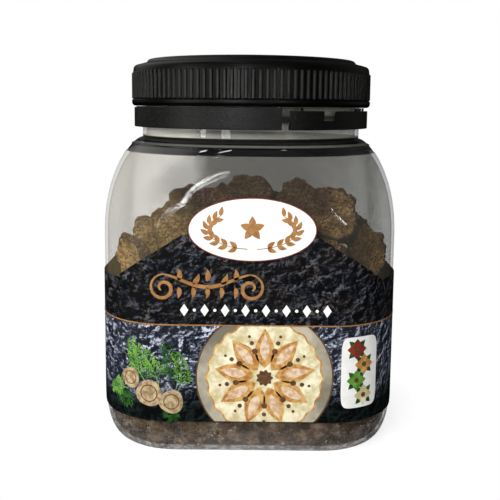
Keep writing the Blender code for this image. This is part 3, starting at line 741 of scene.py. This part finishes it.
def build_lid(surface):
    """The screw lid, hollow below, with grip ribs, and its thread."""
    outer = [*LID_TOP_EDGES, (LID_ROOT_RADIUS, RIB_TOP + 0.0003), (LID_ROOT_RADIUS, RIB_TOP)]
    ribs = [RIB_TOP - d for d in (0.0001, 0.0003, 0.0005, 0.002, 0.005)]
    ribs += [RIB_BOTTOM + d for d in (0.0004, 0.0002, 0.0001)]
    lip = [(LID_ROOT_RADIUS, RIB_BOTTOM), (LID_RADIUS, RIB_BOTTOM - 0.0004)]
    for i in range(8):
        angle = pi / 2 * i / 7
        tuck, drop = LIP_ROUND * (1 - cos(angle)), LIP_ROUND * (1 - sin(angle))
        lip.append((LID_RADIUS - tuck, LID_RIM + drop))
    under = [(LID_BORE, LID_RIM), *LID_UNDER_EDGES]
    profile = rounded(outer, 0.0005) + [(LID_ROOT_RADIUS, z) for z in ribs] + lip + rounded(under, 0.0003)
    bm = turned_solid(profile, RIB_COUNT * len(RIB_STEPS), ribbed)
    piece("screw_lid", bm, surface, "lid", "lid_plastic", ["lid"], sharp=50)
    start = THREAD_START - THREAD_PITCH / 2
    bm = thread(LID_BORE, LID_THREAD_CREST_RADIUS, start, LID_THREAD_FIRST, LID_THREAD_TURNS)
    piece("lid_thread", bm, surface, "lid", "lid_plastic")


def build_liner(surface):
    corners = [(AXIS_GAP, LINER_TOP), (LINER_RADIUS, LINER_TOP)]
    corners += [(LINER_RADIUS, LINER_BOTTOM), (AXIS_GAP, LINER_BOTTOM)]
    bm = turned_solid(rounded(corners, 0.0004), 180)
    piece("foam_liner", bm, surface, "liner", "liner_foam", ["liner"])


def box_helper(low, high, angle):
    """A box between two corners, turned round Z, where angle 0 faces the front."""
    low, high = Vector(low), Vector(high)
    shape = Matrix.LocRotScale((low + high) / 2, None, high - low)
    bm = bmesh.new()
    bmesh.ops.create_cube(bm, size=1.0, matrix=Matrix.Rotation(angle, 4, "Z") @ shape)
    return mesh_object("helper", bm)


def build_band(surface):
    """The tamper band: broken at one place, notched at another, with the stubs of its bridges."""
    profile = [(BAND_BORE, BAND_TOP - 0.001), (BAND_BORE, BAND_TOP)]
    profile += [(BAND_RADIUS, z) for z in (BAND_TOP, BAND_TOP - 0.0008, BAND_BOTTOM + 0.0008, BAND_BOTTOM)]
    profile += [(BAND_LIP_RADIUS, BAND_BOTTOM), (BAND_LIP_RADIUS, BAND_BOTTOM + 0.0009)]
    profile += [(BAND_BORE, BAND_BOTTOM + 0.0025), (BAND_BORE, BAND_TOP - 0.001)]
    bm = bmesh.new()
    rows = turned_rows(bm, rounded(profile, 0.00025)[:-1], 360)
    join_rows(bm, rows + rows[:1])
    band = mesh_object("neck_band", bm)
    edge, over, under = BAND_RADIUS + 0.001, BAND_TOP + 0.001, BAND_BOTTOM - 0.001
    near, far = [-BAND_RADIUS + depth for depth in STUB_DEPTHS]
    boxes = [("DIFFERENCE", 0.0, (BAND_LOW_START, -edge, BAND_LOW_TOP), (edge, BAND_LOW_END, over))]
    half = BRIDGE_WIDTH / 2
    low, high = (-half, near, BAND_LOW_TOP - BRIDGE_WIDTH), (half, far, BAND_TOP)
    boxes += [("UNION", angle, low, high) for angle in BRIDGE_ANGLES]
    for span, floor in ((BAND_BREAK, under), (BAND_NOTCH, BAND_LOW_TOP - BAND_NOTCH_DEPTH)):
        half = BAND_RADIUS * sin((span[1] - span[0]) / 2)
        high = (half, -BAND_LIP_RADIUS * 0.9, over)
        boxes.append(("DIFFERENCE", sum(span) / 2, (-half, -edge, floor), high))
    half = BAND_RADIUS * sin((BAND_BREAK[1] - BAND_BREAK[0]) / 2) + 0.0003
    boxes.append(("UNION", sum(BAND_BREAK) / 2, (-half, near, BAR_BOTTOM), (half, far, BAR_TOP)))
    half = SEAM_WIDTH / 2
    boxes.append(("DIFFERENCE", SEAM_ANGLE, (-half, -edge, under), (half, -BAND_RADIUS + SEAM_DEPTH, over)))
    high = (BAND_RADIUS * sin(SEAM_ANGLE), BAND_LOW_END, over)
    boxes.append(("DIFFERENCE", 0.0, (-edge, SEAM_DROP_FRONT, BAND_TOP - SEAM_DROP), high))
    helpers = []
    for operation, angle, low, high in boxes:
        modifier = band.modifiers.new(operation, "BOOLEAN")
        modifier.operation = operation
        modifier.object = box_helper(low, high, angle)
        modifier.solver = "EXACT"
        helpers.append(modifier.object)
    evaluated(band)
    for helper in helpers:
        bpy.data.objects.remove(helper, do_unlink=True)
    dressed(band, surface, "jar", "band_plastic", ["tamper_band"])


# Label and its print

# Inks: their darkest and lightest colour, and the size of their patches
INKS = {
    "white": ((0.76, 0.75, 0.72), (0.82, 0.81, 0.79)),
    "red": ((0.16, 0.02, 0.015), (0.22, 0.035, 0.02)),
    "bronze": ((0.26, 0.12, 0.04), (0.36, 0.19, 0.07), 0.002),
    "brown": ((0.07, 0.035, 0.018), (0.13, 0.065, 0.03), 0.002),
    "cream_grey": ((0.16, 0.145, 0.11), (0.44, 0.4, 0.31), 0.02),
    "cream": ((0.5, 0.42, 0.22), (0.76, 0.71, 0.52), 0.004),
    "gold": ((0.34, 0.135, 0.03), (0.58, 0.36, 0.12), 0.0025),
    "pink": ((0.46, 0.28, 0.17), (0.68, 0.54, 0.38), 0.002),
    "tan": ((0.22, 0.15, 0.08), (0.48, 0.37, 0.22), 0.002),
    "green": ((0.05, 0.16, 0.02), (0.16, 0.34, 0.06), 0.004),
    "dark_green": ((0.008, 0.035, 0.006), (0.03, 0.11, 0.02), 0.003),
}


def label_top(distance):
    """Height of the label's top edge at a distance along the jar from the front's middle."""
    aside = abs(distance - BADGE_CENTRE[0]) / BADGE_HALF_WIDTH
    if aside < 1:
        return BADGE_CENTRE[1] + BADGE_HALF_HEIGHT * sqrt(1 - aside**2)
    slope = (LABEL_SLOPE_START, LABEL_SLOPE_END)
    return np.interp(abs(distance), slope, (LABEL_SHOULDER_TOP, LABEL_SIDE_TOP))


def wall_point(distance, z, lift):
    """The place on the jar's wall for a place on the flat label."""
    point = perimeter_point(*shell_section(z), distance, lift)
    return Vector((point.x, point.y, z))


def build_label(surface):
    """The film round the front and both sides."""
    beside = [0.001 * i for i in range(1, int(LABEL_REACH / 0.001) + 1) if 0.001 * i > LABEL_SLOPE_START]
    distances = [BADGE_CENTRE[0] + BADGE_HALF_WIDTH * sin(radians(a)) for a in range(-90, 91, 5)]
    distances += [side * distance for distance in beside + [LABEL_SLOPE_START] for side in (-1, 1)]
    distances.sort()
    shares = [i / 30 for i in range(28)] + [0.93, 0.96, 0.985, 1.0]
    count = len(shares)
    bm = bmesh.new()
    rows = []
    for lift, climb in ((LABEL_LIFT, shares), (LABEL_LIFT + LABEL_THICKNESS, shares[::-1])):
        for share in climb:
            heights = [LABEL_BOTTOM + (label_top(d) - LABEL_BOTTOM) * share for d in distances]
            rows.append([bm.verts.new(wall_point(d, z, lift)) for d, z in zip(distances, heights)])
    join_rows(bm, rows + rows[:1], closed=False)
    for end in (0, -1):
        edge = [row[end] for row in rows]
        join_rows(bm, [edge[:count], edge[: count - 1 : -1]], closed=False)
    piece("printed_film", bm, surface, slot="label_film", replaces=["label"])


class Print:
    """One layer of print, drawn flat as (distance, height) and then laid on the film."""

    inks = {}

    def __init__(self):
        self.bm = bmesh.new()

    def ribbon(self, points, width_of):
        """A band of varying half width along a line of points."""
        rows = []
        count = len(points)
        for i, point in enumerate(points):
            before, after = Vector(points[max(i - 1, 0)]), Vector(points[min(i + 1, count - 1)])
            along = (after - before).normalized()
            across = Vector((-along.y, along.x)) * width_of(i / (count - 1))
            rows.append([self.vert(Vector(point) + across * side) for side in (-1, 0, 1)])
        join_rows(self.bm, rows[::-1], closed=False)
        return self

    def vert(self, point):
        return self.bm.verts.new((point[0], point[1], 0.0))

    def leaf(self, base, angle, length, width, bend=0.0, steps=6):
        """A pointed leaf from its base, whose midrib bends."""
        points = [polar(base, length * i / steps, angle + bend * i / steps) for i in range(steps + 1)]
        self.ribbon(points, lambda t: 0.00004 + width / 2 * sin(pi * t**0.8))

    def patch(self, centre, reach_of, rings, spokes, inner=0.0):
        """A filled outline whose reach depends on the angle, from an inner share outwards."""
        angles = [2 * pi * j / spokes for j in range(spokes)]
        rows = []
        for i in range(0 if inner else 1, rings + 1):
            share = inner + (1 - inner) * i / rings
            rows.append([self.vert(polar(centre, reach_of(angle) * share, angle)) for angle in angles])
        join_rows(self.bm, rows[::-1])
        if not inner:
            cap(self.bm, rows[0], (*centre, 0.0))
        return self

    def clip(self, low, high):
        """Cuts off what lies below or above two heights."""
        for z, normal in ((low, (0, -1, 0)), (high, (0, 1, 0))):
            everything = self.bm.verts[:] + self.bm.edges[:] + self.bm.faces[:]
            plane = {"plane_co": (0, z, 0), "plane_no": normal}
            bmesh.ops.bisect_plane(self.bm, geom=everything, clear_outer=True, **plane)
        return self

    def lay(self, name, ink, layer):
        """Lays the drawing on the film and gives it the thickness of its ink."""
        bm = self.bm
        flat = list(bm.faces)
        top = LABEL_LIFT + LABEL_THICKNESS + PRINT_STEP * layer
        drawn = {vert: (vert.co.x, vert.co.y) for vert in bm.verts}
        borders = [edge.link_loops[0] for edge in bm.edges if len(edge.link_faces) == 1]
        walls = [(loop.vert, loop.link_loop_next.vert) for loop in borders]
        under = {vert: bm.verts.new(wall_point(*at, top - INK_THICKNESS)) for vert, at in drawn.items()}
        for start, end in walls:
            bm.faces.new((end, start, under[start], under[end]))
        for face in flat:
            bm.faces.new([under[vert] for vert in reversed(face.verts)])
        for vert, at in drawn.items():
            vert.co = wall_point(*at, top)
        dressed(mesh_object(name, bm, outwards=False), self.inks[ink], slot="label_film", sharp=30)


def circle(radius):
    return lambda angle: radius


def outline(half_width, half_height, power):
    """A lozenge with a power of 1, an ellipse with 2, and a rounded box above that."""

    def reach(angle):
        x = abs(cos(angle)) / half_width
        y = abs(sin(angle)) / half_height
        return (x**power + y**power) ** (-1 / power)

    return reach


def spiral(centre, start_radius, end_radius, start, sweep):
    """Points of a spiral between two radii."""
    growth = end_radius - start_radius
    shares = [i / 26 for i in range(27)]
    return [polar(centre, start_radius + growth * t, start + sweep * t) for t in shares]


def tapered(width):
    return lambda t: 0.00005 + width / 2 * sin(pi * (0.1 + 0.8 * t))


def badge_outline(inset):
    return outline(BADGE_HALF_WIDTH - inset, BADGE_HALF_HEIGHT - inset, 2)


def print_badge():
    """A white oval with a thin rim and two leafy sprigs, over the label's top edge."""
    Print().patch(BADGE_CENTRE, badge_outline(0.0001), 2, 120, inner=0.9).lay("badge_rim", "red", 1)
    Print().patch(BADGE_CENTRE, badge_outline(0.0004), 10, 120).lay("badge_ground", "white", 2)
    sprigs = Print()
    middle, level = BADGE_CENTRE
    for side in (-1, 1):
        angles = [radians(-84 + 128 * i / 18) for i in range(19)]
        stem = [(middle + side * 0.0146 * cos(a), level + 0.0064 * sin(a)) for a in angles]
        sprigs.ribbon(stem, lambda t: 0.00014)
        for i in range(2, 18, 2):
            ahead = Vector(stem[i + 1]) - Vector(stem[i - 1])
            heading = atan2(ahead.y, ahead.x)
            for turn in (-0.75, 0.75):
                sprigs.leaf(stem[i], heading + turn, 0.0033, 0.0015, -0.25 * turn)
        sprigs.leaf(stem[-1], radians(90 + side * 10), 0.0033, 0.0015)
    for i in range(5):
        sprigs.leaf((middle, level + 0.0004), radians(90 + 72 * i), 0.0042, 0.0024)
    sprigs.lay("badge_sprigs", "bronze", 3)


def print_lines():
    """The bronze line round the label, a scroll above it and a row of small white lozenges."""
    points = [(-LABEL_REACH + 2 * LABEL_REACH * i / 280, LINE_HEIGHT) for i in range(281)]
    Print().ribbon(points, lambda t: 0.0002).lay("bronze_line", "bronze", 6)
    scroll = Print()
    for side, x in ((1, -0.0285), (-1, 0.0005)):
        curl = spiral((x, 0.0588), 0.0047, 0.0009, radians(90), side * radians(500))
        scroll.ribbon(curl, tapered(0.0011))
    wave = [(-0.0285 + 0.029 * i / 30, 0.0635 - 0.0042 * sin(pi * i / 30) ** 1.5) for i in range(31)]
    scroll.ribbon(wave, tapered(0.0012))
    for i in range(5):
        x = -0.0235 + 0.0047 * i
        scroll.leaf((x, 0.0612 - 0.001 * (i % 2)), radians(60 - 30 * (i % 2)), 0.0042, 0.0017, 0.5)
        scroll.leaf((x, 0.0592), radians(-62), 0.0038, 0.0015, -0.5)
    scroll.lay("bronze_scroll", "bronze", 1)
    row = Print()
    for i in range(15):
        shape = (circle(0.00055), 1, 10) if i % 2 else (outline(0.0014, 0.0021, 1), 2, 16)
        row.patch((-0.0215 + 0.0034 * i, 0.0514), *shape)
    row.lay("lozenge_row", "white", 1)


def print_plate():
    """A round medallion with a rosette, cut off by the line above and the label's edge below."""
    low, high = LABEL_BOTTOM + 0.0002, LINE_HEIGHT
    layers = (
        ("plate_edge", "brown", PLATE_RADIUS, 0.0, 60),
        ("plate_rim", "cream_grey", PLATE_RADIUS - 0.0005, 0.0, 60),
        ("plate_well", "gold", PLATE_RADIUS * 0.845, 0.02, 132),
        ("plate_field", "cream", PLATE_RADIUS * 0.82, 0.02, 132),
    )
    for order, (name, ink, radius, wave, spokes) in enumerate(layers, start=1):
        shape = Print().patch(PLATE_CENTRE, lambda a: radius * (1 + wave * cos(22 * a)), 12, spokes)
        shape.clip(low, high).lay(name, ink, order)
    rosettes = (
        ("plate_petals", "gold", 5, 0.0035, 0.0135, 0.0066),
        ("plate_hearts", "pink", 6, 0.0062, 0.009, 0.0032),
    )
    for name, ink, order, near, length, width in rosettes:
        shape = Print()
        for i in range(9):
            angle = radians(40 * i + 10)
            shape.leaf(polar(PLATE_CENTRE, near, angle), angle, length, width, steps=10)
        shape.clip(low, high).lay(name, ink, order)
    seeds = Print()
    for i in range(9):
        angle = radians(40 * i + 30)
        for reach, size in ((0.0098, 0.001), (0.0128, 0.00075), (0.0152, 0.0005)):
            seeds.patch(polar(PLATE_CENTRE, reach, angle), circle(size), 1, 12)
    seeds.patch(PLATE_CENTRE, lambda angle: 0.0026 * (1 + 0.12 * cos(9 * angle)), 2, 45)
    seeds.clip(low, high).lay("plate_seeds", "brown", 6)


def print_herbs():
    """Feathery sprigs and a few tan discs, left of the medallion."""
    rng = random.Random(5)
    places = ((-0.0335, 0.0222, 0.0046), (-0.0258, 0.0196, 0.0041), (-0.0405, 0.0268, 0.0036))
    discs, rings = Print(), Print()
    for x, z, radius in places:
        phase = rng.uniform(0, 6)
        discs.patch((x, z), lambda a: radius * (1 + 0.05 * sin(3 * a + phase)), 3, 30)
        rings.patch((x, z), circle(radius * 0.66), 1, 30, inner=0.88)
    discs.lay("tan_discs", "tan", 3)
    rings.lay("disc_rings", "brown", 4)
    sprigs = {"green": Print(), "dark_green": Print()}
    stems = (
        ((-0.03, 0.025), 100, 0.0145, 0.35, "green"),
        ((-0.035, 0.0265), 128, 0.0135, -0.3, "green"),
        ((-0.0235, 0.0235), 66, 0.012, 0.5, "green"),
        ((-0.0262, 0.025), 84, 0.0135, 0.2, "dark_green"),
        ((-0.033, 0.025), 112, 0.014, 0.1, "dark_green"),
        ((-0.0415, 0.0225), 165, 0.008, 0.5, "green"),
        ((-0.0375, 0.02), 200, 0.009, -0.4, "dark_green"),
        ((-0.0215, 0.018), 195, 0.006, 0.4, "dark_green"),
    )
    for base, heading, length, bend, ink in stems:
        turns = [radians(heading) + bend * i / 20 for i in range(21)]
        stem = [polar(base, length * i / 20, turn) for i, turn in enumerate(turns)]
        sprigs[ink].ribbon(stem, lambda t: 0.00016 - 0.0001 * t)
        for i in range(4, 21, 2):
            for side in (-1, 1):
                angle = turns[i] + side * rng.uniform(0.6, 1.0)
                size = 0.0042 * (1.1 - 0.6 * i / 20) * rng.uniform(0.8, 1.2)
                sprigs[ink].leaf(stem[i], angle, size, 0.00032, -0.4 * side, steps=3)
                for share in (0.4, 0.7):
                    twig = polar(stem[i], size * share, angle)
                    for turned in (-0.7, 0.7):
                        sprigs[ink].leaf(twig, angle + turned, size * 0.42, 0.00036, steps=3)
    sprigs["dark_green"].lay("shaded_sprigs", "dark_green", 1)
    sprigs["green"].lay("herb_sprigs", "green", 2)


def print_panel():
    """A plain pale panel right of the medallion, with a column of small flowers."""
    Print().patch(PANEL_CENTRE, outline(*PANEL_HALVES, 7), 10, 96).lay("pale_panel", "white", 1)
    leaves, seeds = Print(), Print()
    petals = {"red": Print(), "gold": Print(), "green": Print(), "cream": Print()}
    for i, ink in enumerate(petals):
        side = 1 if i % 2 else -1
        place = (PANEL_CENTRE[0] + 0.0014 * side, PANEL_CENTRE[1] + 0.0054 * (1.5 - i))
        for k in range(4):
            leaves.leaf(place, radians(90 * k + 45), 0.0042, 0.0022)
            petals[ink].leaf(place, radians(90 * k), 0.0036, 0.0028)
        seeds.patch(place, circle(0.0009), 1, 16)
    leaves.lay("panel_leaves", "dark_green", 2)
    for ink, drawing in petals.items():
        drawing.lay(f"panel_petals_{ink}", ink, 3)
    seeds.lay("panel_seeds", "brown", 4)


# Slices


def read(items, name, width, kind=float):
    """One value of all of a mesh's vertices or edges, in rows."""
    values = np.zeros(len(items) * width, kind)
    items.foreach_get(name, values)
    return values.reshape(-1, width)


def softened(values, edges, counts, steps):
    """The values of joined vertices, blended again and again with the mean of their neighbours."""
    for _ in range(steps):
        total = np.zeros_like(values)
        for one, other in (edges.T, edges.T[::-1]):
            np.add.at(total, one, values[other])
        values = 0.4 * values + 0.6 * (total / counts)
    return values


def rough_noise(point, size, offset):
    return noise.fractal(point / size + offset, 0.9, 2.0, 3)


def kept_inside(places):
    """The places, with those beyond the jar's inner wall or floor drawn back inside."""
    heights = np.linspace(BASE_THICKNESS, SHOULDER_TOP - WALL, 60)
    sections = np.array([shell_section(z, True) for z in heights])
    half = np.interp(places[:, 2], heights, sections[:, 0]) - WALL_GAP
    radius = np.interp(places[:, 2], heights, sections[:, 1])
    inner = (half - radius)[:, None]
    core = np.clip(places[:, :2], -inner, inner)
    out = places[:, :2] - core
    length = np.maximum(np.linalg.norm(out, axis=1), 1e-9)
    share = np.minimum(radius / length, 1.0)
    kept = places.copy()
    kept[:, :2] = core + out * share[:, None]
    return kept


def slice_tones(places, number):
    """How dark the flesh is: by bunch, lighter at the left, and darkest in the middle of the heap's top."""
    chance = random.Random(SLICE_TONE_SEED + number).uniform(-0.25, 0.25)
    tone = 0.42 + 9.0 * places[:, 0].mean() + chance
    high = np.clip((places[:, 2] - DARK_HEIGHT) / 0.006, 0, 1)
    central = np.clip((DARK_HALF_WIDTH - np.abs(places[:, 0])) / 0.006, 0, 1)
    return np.clip(tone + high * central, 0, 1)


def build_slices(node, number, surface):
    """Dried slices in the place of one CAD bunch: lumpy rind at the rim, sunken uneven faces."""
    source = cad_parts[node]
    mesh = source.data.copy()
    tree = BVHTree.FromPolygons([v.co for v in mesh.vertices], [tuple(p.vertices) for p in mesh.polygons])
    obj = placed(f"dried_slices_{number:02d}", mesh)
    obj.modifiers.new("Voxels", "REMESH").voxel_size = VOXEL
    obj.modifiers.new("Smooth", "SMOOTH").iterations = SMOOTH_STEPS
    evaluated(obj)
    mesh = obj.data
    count = len(mesh.vertices)
    places = read(mesh.vertices, "co", 3)
    normals = read(mesh.vertex_normals, "vector", 3)
    edges = read(mesh.edges, "vertices", 2, np.int32)
    counts = np.bincount(edges.ravel(), minlength=count).astype(float)
    rind, lumps, wear = np.zeros((3, count))
    offset = Vector((number * 3.1, number * 1.7, 0.0))
    for i in range(count):
        place, normal = Vector(places[i]), Vector(normals[i])
        hit = tree.ray_cast(place - normal * 0.0002, -normal)
        rind[i] = 1.0 if hit[3] is None or hit[3] > FACE_DEPTH else 0.0
        lumps[i] = LUMP_HEIGHT * rough_noise(place, LUMP_SIZE, offset)
        lumps[i] += GRAIN_HEIGHT * rough_noise(place, GRAIN_SIZE, offset)
        wear[i] = EDGE_GROWTH + EDGE_WEAR * rough_noise(place, EDGE_SIZE, -offset)
    narrow = softened(rind, edges, counts, RIND_STEPS)
    wide = softened(rind, edges, counts, DISH_STEPS)
    rim = np.clip(narrow * 1.5, 0, 1)
    push = lumps * (0.55 + 0.9 * narrow) - DISH_DEPTH * (1 - np.clip(wide * 2.5, 0, 1))
    push = np.minimum(push, MOST_RISE) + wear * rim
    places = kept_inside(places + normals * push[:, None])
    mesh.vertices.foreach_set("co", places.ravel())
    mesh.attributes.new("rind", "FLOAT", "POINT").data.foreach_set("value", narrow)
    mesh.attributes.new("tone", "FLOAT", "POINT").data.foreach_set("value", slice_tones(places, number))
    mesh.update()
    dressed(obj, surface, "jar", "dried_truffle", [node], sharp=None)


# Studio


def build_floor():
    """A pale floor that fades into the white background."""
    n = Material("pale_floor")
    n.set(Alpha=n.ramp(n.radial(), *FLOOR_FADE, 0.6, 0.0))
    n.set(Base_Color=n.mix(n.noise(0.3, 2.0), (0.9, 0.9, 0.9), (0.93, 0.93, 0.93)))
    n.set(Roughness=0.7, Specular_IOR_Level=0.2)
    bpy.ops.mesh.primitive_grid_add(x_subdivisions=8, y_subdivisions=8, size=FLOOR_SIZE)
    floor = bpy.context.object
    floor.name = "pale_floor"
    floor.data.materials.append(n.made)


def direction(azimuth, elevation):
    """A direction, where azimuth 0 is the front and positive is towards +X."""
    turned, raised = radians(azimuth), radians(elevation)
    level = cos(raised)
    return Vector((sin(turned) * level, -cos(turned) * level, sin(raised)))


def build_world():
    """White where the camera sees it, and for all else a dim room with soft glows."""
    world = bpy.data.worlds.new("studio")
    bpy.context.scene.world = world
    world.use_nodes = True
    world.node_tree.nodes.clear()
    n = Nodes(world.node_tree)
    place = n.add("TexCoord").outputs["Generated"]
    strength = 0.0
    for azimuth, elevation, inner, outer, glow in WORLD_GLOWS:
        nearness = n.add("VectorMath", (place, direction(azimuth, elevation)), operation="DOT_PRODUCT")
        fades = [cos(radians(angle)) for angle in (outer, inner)]
        strength = n.plus(strength, n.ramp(nearness.outputs["Value"], *fades, 0.0, glow))
    room = n.add("Background", {"Color": ROOM_COLOUR, "Strength": strength})
    seen = n.add("Background", {"Color": (1, 1, 1)})
    to_camera = n.add("LightPath").outputs["Is Camera Ray"]
    mix = n.add("MixShader", (to_camera, room.outputs[0], seen.outputs[0]))
    n.add("OutputWorld", (mix.outputs[0],))
    bpy.context.scene.view_settings.view_transform = "Standard"


def area_light(name, place, out, along, size, radiance):
    """A rectangular light that lies out in one direction, with its width along another."""
    data = bpy.data.lights.new(name, "AREA")
    data.shape = "RECTANGLE"
    data.size, data.size_y = size
    data.energy = radiance * pi * size[0] * size[1]
    light = placed(name, data)
    light.location = place
    light.rotation_euler = Matrix((along, out.cross(along), out)).transposed().to_euler()
    return light


def light_line(name, points, radiance):
    """A bent line of narrow lights that only show in reflections."""
    for i, (before, after) in enumerate(zip(points, points[1:])):
        start, end = direction(*before[:2]), direction(*after[:2])
        out = (start + end).normalized()
        along = (end - start).normalized()
        size = ((end - start).length * LINE_DISTANCE * 1.05, (before[2] + after[2]) / 2)
        place = SHOULDER + out * LINE_DISTANCE
        light = area_light(f"{name}_{i}", place, out, along, size, radiance)
        light.visible_diffuse = False


def build_lights():
    """Square softboxes that stay out of reflections, and the bright lines that show only in them."""
    for name, azimuth, elevation, distance, size, radiance in SOFT_LIGHTS:
        out = direction(azimuth, elevation)
        side = Vector((0, 0, 1)).cross(out).normalized()
        light = area_light(name, MIDDLE + out * distance, out, side, (size, size), radiance)
        light.visible_glossy = False
    for values in STREAKS:
        light_line(*values)


def main():
    make_camera()
    build_jar(film_material())
    build_lid(lid_material())
    build_liner(foam_material())
    build_band(band_material())
    build_label(slate_material())
    for name, tones in INKS.items():
        Print.inks[name] = ink_material(f"{name}_ink", *tones)
    for draw in (print_badge, print_lines, print_plate, print_herbs, print_panel):
        draw()
    truffle = truffle_material()
    nodes = sorted(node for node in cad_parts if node.startswith("truffle_slices_"))
    for number, node in enumerate(nodes, start=1):
        build_slices(node, number, truffle)
    build_floor()
    build_world()
    build_lights()


main()
